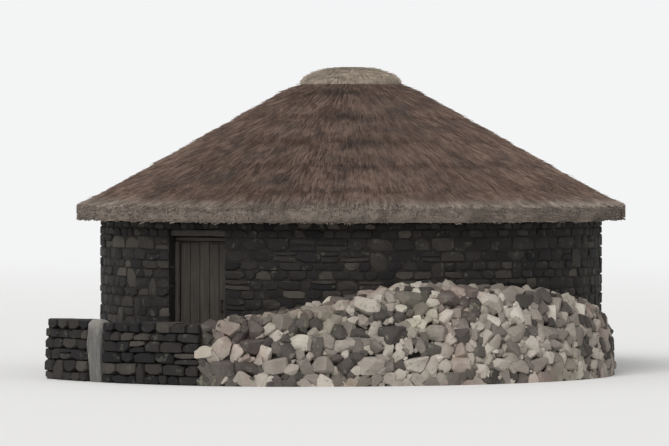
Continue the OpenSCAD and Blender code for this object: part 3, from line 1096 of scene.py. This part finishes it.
def keepOnBank(points):
    # no stone reaches past the foot of the bank, or into the wall
    turn = np.degrees(np.arctan2(points[:, 1], points[:, 0])) % 360
    turn[turn < 180] += 360
    foot = hut["wallRadius"] + np.interp(turn, [row[0] for row in bankPlan], [row[2] for row in bankPlan])
    radius = np.linalg.norm(points[:, :2], axis=1)
    points[:, :2] *= (np.clip(radius, hut["wallRadius"] + 0.001, foot - 0.004) / radius)[:, None]
    points[:, 2] = np.maximum(points[:, 2], 0.0)


def layRubble(heaps, rng, boulders, spots, sizes):
    # smaller and smaller stones fill the places that the main boulders leave
    look = bankLook
    big, small = look["sizes"]
    for attempt in range(look["tries"]):
        if len(sizes) >= look["most"]:
            break
        done = (attempt / look["tries"]) ** 0.5
        size = (big + (small - big) * done) * rng.uniform(0.8, 1.15)
        turn = rng.uniform(bankEnds[0] + 0.5, bankEnds[-1] - 0.5)
        r, z, nr, nz = bankSpot(turn, rng.random())
        a = math.radians(turn)
        spot = np.array([r * math.cos(a), r * math.sin(a), z])
        if (np.linalg.norm(spots - spot, axis=1) < (sizes + size) / 2 * look["space"]).any():
            continue
        spots = np.vstack([spots, spot])
        sizes = np.append(sizes, size)
        normal = Vector((nr * math.cos(a), nr * math.sin(a), nz)).normalized()
        up = (normal + Vector([rng.gauss(0, look["tumble"]) for i in range(3)])).normalized()
        around = Vector((-math.sin(a), math.cos(a), 0))
        along = (around - up * around.dot(up)).normalized()
        along.rotate(Quaternion(up, rng.uniform(0, 2 * math.pi)))
        shape = rng.choice(boulders)
        extents = [size * rng.uniform(*limits) for limits in look["extents"]]
        placed = np.array(Vector(spot) - normal * extents[2] * (0.5 - look["proud"]))
        for axis, way in enumerate((along, up.cross(along), up)):
            placed = placed + shape["points"][:, axis : axis + 1] * np.array(way) * extents[axis]
        keepOnBank(placed)
        tone = bankToneAndShadow(rng, turn)
        which = next(i for i, e in enumerate(bankEnds[1:]) if turn < e)
        heaps[which].lay(placed, shape["faces"], np.full(len(placed), tone))
    print("bank stones laid:", len(sizes))


def buildBank():
    rng = random.Random(bankLook["seed"])
    boulders = [modelBoulder(seed) for seed in range(51, 51 + bankLook["kinds"])]
    print("boulders modelled:", [len(b["faces"]) for b in boulders])
    names = ("left", "middle", "right", "end")
    heaps = [Heap() for name in names]
    mains = mainBoulders()
    spots = np.array([layBoulder(heaps[m["bank"]], rng, m, rng.choice(boulders)) for m in mains])
    layRubble(heaps, rng, boulders, spots, np.array([m["width"] for m in mains]))
    for name, heap in zip(names, heaps):
        heap.build("bank_stones_" + name, finishes["bankStone"], "pale_stone", smooth=38)
    wall = hut["wallRadius"]
    rings = []
    for turn in np.linspace(bankEnds[0] + 0.02, bankEnds[-1], 120):
        a = math.radians(turn)
        ring = []
        for i in range(25):
            r, z, nr, nz = bankSpot(turn, i / 24)
            spot = Vector((r * math.cos(a), r * math.sin(a), z))
            inset = min(bankLook["inset"] + 0.03 * noise.noise(spot * 7), (r - wall) * 0.5 + 0.01)
            ring.append((max(wall, r - nr * inset), max(0.0, z - nz * inset)))
        ring[0] = (ring[0][0], 0.0)
        ring += [(wall, ring[-1][1]), (wall, 0.0)]
        rings.append(spun(ring, a))
    replaced = ["stone_bank_" + name for name in names]
    standIn("bank_core", rings, False, 0.5, finishes["soil"], "earth", 50, *replaced)


buildBank()


# The thatch

roof = {
    "pitch": math.radians(29.5),
    "plateRadius": 3.0,
    "plateTop": 2.014,
    "under": 0.125,
    "thick": 0.24,
    "step": 0.014,
    "eaveRadius": 3.58,
    "flareWidth": 0.48,
    "flarePitch": math.radians(25.0),
    "lip": 0.05,
    "eaveLow": 1.985,
    "domeRadius": 0.9,
    "domeLap": math.radians(4),
    "capRadius": 0.66,
    "capSeat": 0.6,
    "capHeight": 0.23,
}
roof["full"] = roof["under"] + roof["thick"]
roof["flareRadius"] = roof["eaveRadius"] - roof["flareWidth"]
roof["flareBase"] = roof["flareRadius"] - roof["full"] * math.sin(roof["pitch"])
roof["domeBase"] = roof["domeRadius"] - roof["full"] * math.sin(roof["pitch"])
roof["courseWidth"] = (roof["flareBase"] - roof["domeBase"]) / 4


def slopePoint(r, d):
    # radius and height at a distance square to the slope from the rafters' undersides
    p = roof["pitch"]
    z = roof["plateTop"] + (roof["plateRadius"] - r) * math.tan(p)
    return r + d * math.sin(p), z + d * math.cos(p)


def courseLine(i):
    # the outer line of a course: its low and its high end
    low = roof["flareBase"] - i * roof["courseWidth"]
    return slopePoint(low, roof["full"] + roof["step"]), slopePoint(low - roof["courseWidth"], roof["full"])


flareTop = slopePoint(roof["flareBase"], roof["full"])
lipRadius = roof["eaveRadius"] - roof["lip"]
eaveTop = flareTop[1] - (lipRadius - roof["flareRadius"]) * math.tan(roof["flarePitch"])
domeSize = roof["domeRadius"] / math.sin(roof["pitch"])
domeCentre = slopePoint(roof["domeBase"], roof["full"])[1] - domeSize * math.cos(roof["pitch"])


def domeAt(r):
    return domeCentre + math.sqrt(domeSize**2 - r * r)


def crownLine(steps):
    # the outer line of the crown course, from its low end to the rim of the cap
    start = domeSize * math.sin(roof["pitch"] - roof["domeLap"])
    radii = [start + (roof["capRadius"] - start) * i / steps for i in range(steps + 1)]
    return [slopePoint(roof["domeBase"], roof["full"] + roof["step"])] + [(r, domeAt(r)) for r in radii]


def lipAt(a, lip=roof["lip"]):
    # the rounded edge of the eave
    mid, half = (roof["eaveLow"] + eaveTop) / 2, (eaveTop - roof["eaveLow"]) / 2
    return lipRadius + lip * math.cos(a), mid + half * math.sin(a)


def capAt(a):
    return roof["capRadius"] * math.cos(a), domeAt(roof["capRadius"]) + roof["capHeight"] * math.sin(a)


coatLook = {
    "steps": 288,
    "spacing": 0.06,
    "innerSpacing": 0.3,
    "lumps": (0.011, 3.4),  # how high, and how many to the metre
    "ridges": (0.006, 11.0),
    "sunk": 0.008,
    "foot": 0.07,  # over which the foot of a course eases down under its straws
    "lipIn": 0.014,  # how far the eave's coat stays inside its lip, under the cut ends
    "seatGap": 0.0003,
}


def alongLine(points, spacing):
    # the same line with more points on it
    dense = [points[0]]
    for a, b in zip(points, points[1:]):
        count = max(1, round(math.dist(a, b) / spacing))
        dense += [tuple(a[j] + (b[j] - a[j]) * i / count for j in (0, 1)) for i in range(1, count + 1)]
    return dense


def makeCoat(name, outer, inner, finish, slot, *replaced):
    look = coatLook
    outer = alongLine(outer, look["spacing"])
    inner = alongLine(inner, look["innerSpacing"])
    rings = []
    for k in range(look["steps"]):
        a = 2 * math.pi * k / look["steps"]
        ring = []
        for i, (r, z) in enumerate(outer):
            p = (r * math.cos(a), r * math.sin(a), z)
            push = look["lumps"][0] * ripple(p, look["lumps"][1])
            push += look["ridges"][0] * ripple(p, look["ridges"][1], 9.0)
            push -= look["sunk"]
            before, after = outer[max(i - 1, 0)], outer[min(i + 1, len(outer) - 1)]
            span = math.dist(before, after)
            nr, nz = (before[1] - after[1]) / span, (after[0] - before[0]) / span
            if r < 0.02:
                nr, nz = 0.0, -1.0
            ring.append((max(r - nr * push, 0.0) if r > 0.02 else 0.0, z - nz * push))
        rings.append(spun(ring + inner, a))
    standIn(name, rings, True, 0.42, finish, slot, 55, *replaced)


def easedFoot(base):
    # the low end of a course, eased down to the course below where the straws cover it
    foot, full = coatLook["foot"], roof["full"]
    eased = full + roof["step"] * (1 - foot / roof["courseWidth"])
    return [slopePoint(base, full), slopePoint(base - foot, eased)]


def buildCoats():
    under = roof["under"]
    low = hut["wallRadius"] - 0.005
    lip = roof["lip"] - coatLook["lipIn"]
    outer = [flareTop] + [lipAt(math.radians(90 - 30 * i), lip) for i in range(7)]
    underside = (low, roof["plateTop"] + (roof["plateRadius"] - low) * math.tan(roof["pitch"]))
    underside = (low, underside[1] + under / math.cos(roof["pitch"]))
    inner = [underside, slopePoint(roof["flareBase"], under)]
    makeCoat("thatch_eave", outer[::-1], inner[::-1], finishes["eave"], "eave_thatch", "thatch_eave_course")
    for i in range(4):
        base = roof["flareBase"] - i * roof["courseWidth"]
        outer = easedFoot(base) + [courseLine(i)[1]]
        inner = [slopePoint(base - roof["courseWidth"], under), slopePoint(base, under)]
        name = "thatch_course_%d" % (i + 2)
        makeCoat(name + "_coat", outer, inner, finishes["thatch"], "thatch", name)
    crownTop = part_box("crown_ring")[1].z + coatLook["seatGap"]
    rise = crownTop - roof["plateTop"] - under / math.cos(roof["pitch"])
    seatRadius = roof["plateRadius"] - rise / math.tan(roof["pitch"])
    seat = (roof["capSeat"], domeAt(roof["capSeat"]))
    inner = [seat, (0.0, seat[1]), (0.0, crownTop), (seatRadius, crownTop)]
    inner.append(slopePoint(roof["domeBase"], under))
    crown = [slopePoint(roof["domeBase"], roof["full"])] + crownLine(6)[1:]
    makeCoat("thatch_crown_coat", crown, inner, finishes["thatch"], "thatch", "thatch_crown_course")
    top = [capAt(math.radians(90 * i / 14)) for i in range(15)]
    top[-1] = (0.0, top[-1][1])
    inner = [(r, seat[1] + coatLook["seatGap"]) for r in (0.0, seat[0])]
    makeCoat("thatch_cap_coat", top, inner, finishes["cap"], "eave_thatch", "thatch_cap")


buildCoats()
print("thatch coats made")

strawLook = {
    "width": 0.0065,
    "kinds": 8,
    "straws": 6,
    "tuftWidth": 0.085,
    "length": 0.3,
    "rowStep": 0.088,
    "spacing": 0.072,
    "root": -0.022,
    "tip": 0.007,
    "overhang": 0.022,
    "ragged": 0.026,
    "wave": 0.007,
    "droop": (0.03, 0.012, -0.004),  # how far on, how deep, and how deep its roots are
    "fan": 0.07,  # how far the straws of a tuft spread
    "clear": 0.003,
}


def modelTuft(seed, butt):
    # a tuft is a handful of straws; one straw is a thin three-sided stalk, and butt is how thick its end is
    rng = random.Random(seed)
    straws, width, length = strawLook["straws"], strawLook["tuftWidth"], strawLook["length"]
    clearAll()
    bpy.ops.mesh.primitive_cone_add(vertices=3, radius1=0.5, radius2=butt, depth=1, location=(0, 0, 0.5))
    stalk = bpy.context.object
    bpy.ops.object.transform_apply(location=True)
    shape = takeShape(stalk)
    points, faces, tones = [], [], []
    for i in range(straws):
        thick = strawLook["width"] * rng.uniform(0.75, 1.3)
        long = length * rng.uniform(0.72, 1.0)
        yaw, lift = rng.gauss(0, strawLook["fan"]), rng.gauss(0.01, 0.02)
        side = width * ((i + rng.random()) / straws - 0.5)
        start = length * rng.uniform(-0.02, 0.2)
        local = shape["points"]
        x = side + local[:, 0] * thick + local[:, 2] * long * math.sin(yaw)
        y = start + local[:, 2] * long
        z = local[:, 1] * thick + local[:, 2] * long * lift
        points.append(np.stack([x, y, z], 1))
        # the stalk's own X, Y and Z become across, up and along, which turns its faces over
        faces.append(shape["faces"][:, ::-1] + i * len(local))
        tones.append(np.full(len(local), rng.uniform(0.0, 1.0)))
    points, faces, tones = (np.concatenate(rows) for rows in (points, faces, tones))
    return {"points": points, "faces": faces, "tones": tones - 0.5}


tufts = [modelTuft(100 + k, 0.22) for k in range(strawLook["kinds"])]
butts = [modelTuft(200 + k, 0.8) for k in range(strawLook["kinds"])]


def thatchRow(
    heap, rng, tip, down, count, lengthScale=1.0, root=None, raised=None,
    ragged=1.0, kinds=tufts, spread=0.13,
):
    # a row of tufts round the roof: tip and down are in the section's plane
    turns = (np.arange(count) + rng.uniform(-0.4, 0.4, count)) * 2 * np.pi / count
    slide = rng.normal(0, strawLook["ragged"], count) * ragged
    for waves in (5, 13, 31):
        slide += strawLook["wave"] * ragged * np.sin(waves * turns + rng.uniform(0, 2 * np.pi))
    tilt = rng.normal(0, 0.05, count)
    root = strawLook["root"] if root is None else root
    raised = strawLook["tip"] if raised is None else raised
    length = strawLook["length"] * lengthScale
    lift = (raised - root + rng.normal(0, 0.005, count)) / length
    normal = np.array([-down[1], down[0]])
    if normal[1] < 0:
        normal = -normal
    startR = tip[0] - down[0] * length + normal[0] * root + down[0] * slide
    startZ = tip[1] - down[1] * length + normal[1] * root + down[1] * slide
    cosA, sinA = np.cos(turns), np.sin(turns)
    origin = np.stack([startR * cosA, startR * sinA, startZ], 1)
    out = np.stack([cosA, sinA, np.zeros(count)], 1)
    aside = np.stack([-sinA, cosA, np.zeros(count)], 1)
    alongBase = out * down[0] + np.array([0, 0, down[1]])
    up = out * normal[0] + np.array([0, 0, normal[1]])
    along = alongBase + up * lift[:, None] + aside * tilt[:, None]
    across = aside - alongBase * tilt[:, None]
    along *= lengthScale * rng.uniform(0.9, 1.1, count)[:, None]
    shades = 0.5 + rng.normal(0, spread, count)
    which = rng.integers(0, len(kinds), count)
    for k, shape in enumerate(kinds):
        chosen = which == k
        if chosen.any():
            heap.layMany(shape, origin[chosen], -across[chosen], along[chosen], up[chosen], shades[chosen])


def thatchZone(heap, rng, low, high, overhang, scale=1.0):
    # rows from the low end of a line to its high end
    length = math.dist(low, high)
    down = ((low[0] - high[0]) / length, (low[1] - high[1]) / length)
    at = -overhang
    while at < length - 0.02:
        tip = (low[0] - down[0] * at, low[1] - down[1] * at)
        count = max(14, round(2 * math.pi * max(tip[0], 0.15) / strawLook["spacing"]))
        thatchRow(heap, rng, tip, down, count, scale)
        if at < 0:
            # the butts at the foot of a course droop unevenly over the course below
            droop = strawLook["droop"]
            lower = (tip[0] + down[0] * droop[0], tip[1] + down[1] * droop[0])
            thatchRow(heap, rng, lower, down, round(count * 1.4), scale * 0.6, droop[2], -droop[1], 1.5)
        at += strawLook["rowStep"]


def keepInside(heap, reach, top=None):
    # nothing stands out past the part's own box
    for points in heap.points:
        radius = np.linalg.norm(points[:, :2], axis=1)
        points[:, :2] *= np.minimum(1, reach / np.maximum(radius, 0.001))[:, None]
        if top is not None:
            points[:, 2] = np.minimum(points[:, 2], top)


def buildStraws():
    rng = np.random.default_rng(5)
    heap = Heap()
    thatchZone(heap, rng, (lipRadius, eaveTop), flareTop, 0.03)
    keepInside(heap, roof["eaveRadius"] - strawLook["clear"])
    heap.build("eave_straws", finishes["eave"], "eave_thatch")
    for i in range(4):
        heap = Heap()
        low, high = courseLine(i)
        thatchZone(heap, rng, low, high, strawLook["overhang"])
        heap.build("straws_course_%d" % (i + 2), finishes["thatch"], "thatch")
    heap = Heap()
    line = crownLine(2)
    for k, (low, high) in enumerate(zip(line, line[1:])):
        thatchZone(heap, rng, low, high, strawLook["overhang"] if k == 0 else 0.0, 0.8)
    heap.build("straws_crown", finishes["thatch"], "thatch")


buildStraws()
print("straws laid")


fringeLook = {
    "layers": 8,
    "from": -78,  # degrees round the lip of the eave
    "over": 150,
    "slant": (16, 10),
    "spacing": 0.055,
    "length": 0.42,
    "sunk": 0.004,
    "clear": 0.002,
}
capLook = {
    "rows": 15,
    "from": 4,
    "over": 82,
    "spacing": 0.05,
    "length": (0.24, 0.26),
    "tufts": (-0.014, 0.003),  # the height of their roots and tips
    "past": 0.012,  # how far its straws reach past the cap
    "clear": 0.0005,
}


def buildFringe():
    # cut ends of straw, brushed out over the edge of the eave
    look = fringeLook
    rng = np.random.default_rng(11)
    heap = Heap()
    sunk = look["sunk"]
    for k in range(look["layers"]):
        r, z = lipAt(math.radians(look["from"] + look["over"] * k / (look["layers"] - 1)))
        slant = math.radians(look["slant"][0] + look["slant"][1] * k / look["layers"])
        down = (math.cos(slant), -math.sin(slant))
        count = round(2 * math.pi * lipRadius / look["spacing"])
        tip = (r - sunk, z)
        thatchRow(heap, rng, tip, down, count, look["length"], -sunk, sunk, kinds=butts, spread=0.24)
    keepInside(heap, roof["eaveRadius"] - look["clear"])
    heap.build("eave_fringe", finishes["eave"], "eave_thatch")


def buildCapStraws():
    # rows that follow the rounded cap, short at its rim where it bends most
    look = capLook
    rng = np.random.default_rng(17)
    heap = Heap()
    for k in range(look["rows"]):
        a = math.radians(look["from"] + look["over"] * k / (look["rows"] - 1))
        tip = capAt(a)
        ahead = a + 0.1
        slope = Vector((roof["capRadius"] * math.sin(ahead), -roof["capHeight"] * math.cos(ahead)))
        slope = slope.normalized()
        count = max(12, round(2 * math.pi * tip[0] / look["spacing"]))
        length = look["length"][0] + look["length"][1] * k / look["rows"]
        thatchRow(heap, rng, tip, tuple(slope), count, length, *look["tufts"])
    keepInside(heap, roof["capRadius"] + look["past"], cadBox[1].z - look["clear"])
    heap.build("cap_straws", finishes["cap"], "eave_thatch")


buildFringe()
buildCapStraws()
print("fringe and cap made")


# The doorway and the leaf

doorLook = {
    "boards": 5,
    "gap": 0.004,
    "uneven": (0.012, 0.005),  # at the feet and heads of the boards
    "ledge": 0.11,
    "stop": 0.015,  # how far the strips that the leaf closes against stand out
    "stopDepth": 0.03,
    "headHalf": 0.375,
    "beams": 3,
    "beamGap": 0.006,
    "nail": (0.014, 0.008, 0.014),
    "nailsUp": (0.03, 0.08),
}
boardLook = {"bevel": 0.006, "rough": 0.0025, "spacing": 0.09}
postLook = {"bevel": 0.01, "rough": 0.004, "spacing": 0.08}
beamLook = {"bevel": 0.022, "rough": 0.007, "spacing": 0.07}


def hewnBlock(low, high, seed, look):
    low, high = Vector(low), Vector(high)
    size = high - low
    block = startBlock(min(look["bevel"], min(size) * 0.3), 2, location=(low + high) / 2, scale=size)
    cutEvenly(low, size, look["spacing"])
    finishBlock()
    points = getPoints(block)
    mid = np.array((low + high) / 2)
    for p in points:
        wear = look["rough"] * (1.2 + ripple(p, 7.0, seed) + 0.6 * ripple(p, 29.0, seed + 3))
        p -= np.sign(p - mid) * min(wear, 0.012) * (np.abs(p - mid) > np.array(size) * 0.4)
    setPoints(block, points)
    return takeShape(block)


def layBlocks(name, boxes, finish, slot, body, look, seed):
    rng = random.Random(seed)
    heap = Heap()
    for i, (low, high) in enumerate(boxes):
        shape = hewnBlock(low, high, seed + i * 2.3, look)
        heap.lay(shape["points"], shape["faces"], np.full(len(shape["points"]), rng.uniform(0.25, 0.75)))
    return heap.build(name, finish, slot, body, smooth=35)


def splitBox(box, axis, count, gap):
    low, high = box
    width = (high[axis] - low[axis] - gap * (count - 1)) / count
    boxes = []
    for i in range(count):
        a, b = low.copy(), high.copy()
        a[axis] = low[axis] + i * (width + gap)
        b[axis] = a[axis] + width
        boxes.append((a, b))
    return boxes


def ledgeHeights():
    low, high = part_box("door_ledges")
    top = high.z - doorLook["ledge"]
    return low.z, (low.z + top) / 2, top


def buildDoorway():
    rng = random.Random(3)
    boards = []
    for a, b in splitBox(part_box("door_planks"), 0, doorLook["boards"], doorLook["gap"]):
        a.z += rng.uniform(0, doorLook["uneven"][0])
        b.z -= rng.uniform(0, doorLook["uneven"][1])
        boards.append((a, b))
    low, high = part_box("door_ledges")
    ledges = []
    for z in ledgeHeights():
        ledges.append((Vector((low.x, low.y, z)), Vector((high.x, high.y, z + doorLook["ledge"]))))
    stop, depth, half = doorLook["stop"], doorLook["stopDepth"], doorLook["headHalf"]
    posts = []
    for side, node in ((-1, "frame_left_post"), (1, "frame_right_post")):
        low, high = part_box(node)
        post, rail = [low.copy(), high.copy()], [low.copy(), high.copy()]
        doorSide = 1 if side < 0 else 0
        post[doorSide].x += stop * side
        rail[1 - doorSide].x = post[doorSide].x
        rail[1].y = rail[0].y + depth
        posts.append([post, rail])
    low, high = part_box("frame_head")
    head = [Vector((low.x, low.y, low.z + stop)), high.copy()]
    rail = [Vector((-half, low.y, low.z)), Vector((half, low.y + depth, low.z + stop))]
    beams = splitBox(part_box("door_lintel"), 1, doorLook["beams"], doorLook["beamGap"])
    for name, boxes, finish, slot, body, look, seed, node in (
        ("door_boards", boards, "plank", "door_wood", "door", boardLook, 4, "door_planks"),
        ("door_ledge_boards", ledges, "beam", "door_wood", "door", boardLook, 9, "door_ledges"),
        ("hewn_left_post", posts[0], "plank", "door_wood", "hut", postLook, 12, "frame_left_post"),
        ("hewn_right_post", posts[1], "plank", "door_wood", "hut", postLook, 14, "frame_right_post"),
        ("hewn_head", [head, rail], "beam", "door_wood", "hut", postLook, 18, "frame_head"),
        ("lintel_beams", beams, "beam", "pole_wood", "hut", beamLook, 23, "door_lintel"),
    ):
        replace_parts(layBlocks(name, boxes, finishes[finish], slot, body, look, seed), node)
    print("doorway made")


def buildNails():
    # domed heads on the boards, two over each ledge
    clearAll()
    bpy.ops.mesh.primitive_uv_sphere_add(segments=10, ring_count=6, radius=0.5)
    nail = bpy.context.object
    editAll(nail)
    cut((0, 0, 0), (0, 1, 0), clear=True)
    bpy.ops.object.mode_set(mode="OBJECT")
    shape = takeShape(nail)
    rng = random.Random(31)
    heap = Heap()
    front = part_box("door_planks")[0]
    for a, b in splitBox(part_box("door_planks"), 0, doorLook["boards"], doorLook["gap"]):
        for z in ledgeHeights():
            for up in doorLook["nailsUp"]:
                x = (a.x + b.x) / 2 + rng.uniform(-0.03, 0.03)
                at = np.array([x, front.y + 0.003, z + up + rng.uniform(-0.008, 0.008)])
                points = shape["points"] * np.array(doorLook["nail"]) + at
                heap.lay(points, shape["faces"], np.full(len(points), 0.5))
    heap.build("door_nails", finishes["iron"], "iron", "door", smooth=60)


buildDoorway()
buildNails()

cadFinishes = {
    "mud": [n for n in nodes if n.startswith("wall_") and n != "wall_plate"],
    "floor": ["earth_floor"],
    "wallStone": ["threshold_stone"],
    "iron": ["hinge_pins", "door_straps"],
    "plank": ["door_handle", "door_planks", "frame_left_post", "frame_right_post"],
    "beam": ["door_ledges", "frame_head", "door_lintel"],
    "rafter": ["long_rafters", "short_rafters"],
    "hoop": ["roof_hoops", "tie_hoop", "crown_ring", "wall_plate"],
    "thatch": [n for n in nodes if n.startswith("thatch_")],
    "bankStone": [n for n in nodes if n.startswith("stone_bank")] + ["upright_stone"],
    "soil": [n for n in nodes if n.startswith("low_wall")],
}
# these are the CAD nodes' own finishes; those that a piece replaces get one too
for finish, names in cadFinishes.items():
    for name in names:
        mesh = nodes[name].data
        mesh.materials.clear()
        mesh.materials.append(finishes[finish])
print("part dressed")


# Floor, backdrop, light and camera

studio = {
    "floor": 900.0,
    "floorColour": (0.86, 0.855, 0.845),
    "backdrop": 0.93,
    "backColour": (0.97, 0.975, 0.98),
    "fade": (12.0, 70.0),  # from the hut, where the floor turns into the backdrop
    "fill": 0.55,
    "key": 1.9,
    "keyTurn": (52.0, 0.0, 12.0),
    "keySize": 35.0,
    "distance": 65.0,
    "azimuth": 37.0,
    "elevation": 1.0,
    "target": (-0.17, -0.13, 1.93),
    "lens": 268.0,
}


def buildStudio():
    clearAll()
    bpy.ops.mesh.primitive_plane_add(size=studio["floor"])
    floor = bpy.context.object
    floor.name = "studio_floor"
    f = Finish("studioFloor")
    x, y = f.parts(f.place())[:2]
    far = ((x * x + y * y) ** 0.5).fade(*studio["fade"])
    seen = f.node("LightPath", {}, {}, "Is Camera Ray")
    near = f.node("BsdfPrincipled", {}, {"Base Color": (*studio["floorColour"], 1), "Roughness": 0.9})
    glow = {"Color": (*studio["backColour"], 1), "Strength": studio["backdrop"]}
    both = f.node("MixShader", {}, {0: far * seen, 1: near, 2: f.node("Emission", {}, glow)})
    f.node("OutputMaterial", {}, {"Surface": both})
    floor.data.materials.append(f.material)
    sky = Finish("studioWorld", bpy.data.worlds)
    bpy.context.scene.world = sky.material
    seen = 0.0
    for ray in ("Camera", "Glossy", "Transmission"):
        here = sky.node("LightPath", {}, {}, "Is %s Ray" % ray)
        seen = sky.node("Math", {"operation": "MAXIMUM"}, {0: seen, 1: here})
    fill = sky.node("Background", {}, {"Color": (1.0, 1.0, 1.0, 1), "Strength": studio["fill"]})
    mixed = sky.node("MixShader", {}, {0: seen, 1: fill, 2: sky.node("Background", {}, glow)})
    sky.node("OutputWorld", {}, {0: mixed})
    clearAll()
    turn = [math.radians(v) for v in studio["keyTurn"]]
    bpy.ops.object.light_add(type="SUN", rotation=turn)
    key = bpy.context.object
    key.data.energy = studio["key"]
    key.data.angle = math.radians(studio["keySize"])
    bpy.ops.object.camera_add()
    camera = bpy.context.object
    a, e = math.radians(studio["azimuth"]), math.radians(studio["elevation"])
    back = Vector((math.sin(a) * math.cos(e), -math.cos(a) * math.cos(e), math.sin(e)))
    camera.location = Vector(studio["target"]) + back * studio["distance"]
    camera.rotation_euler = (-back).to_track_quat("-Z", "Y").to_euler()
    camera.data.lens = studio["lens"]
    camera.data.clip_end = 2000
    bpy.context.scene.camera = camera
    bpy.context.scene.view_settings.view_transform = "Standard"


buildStudio()
clearAll()
print("studio ready")
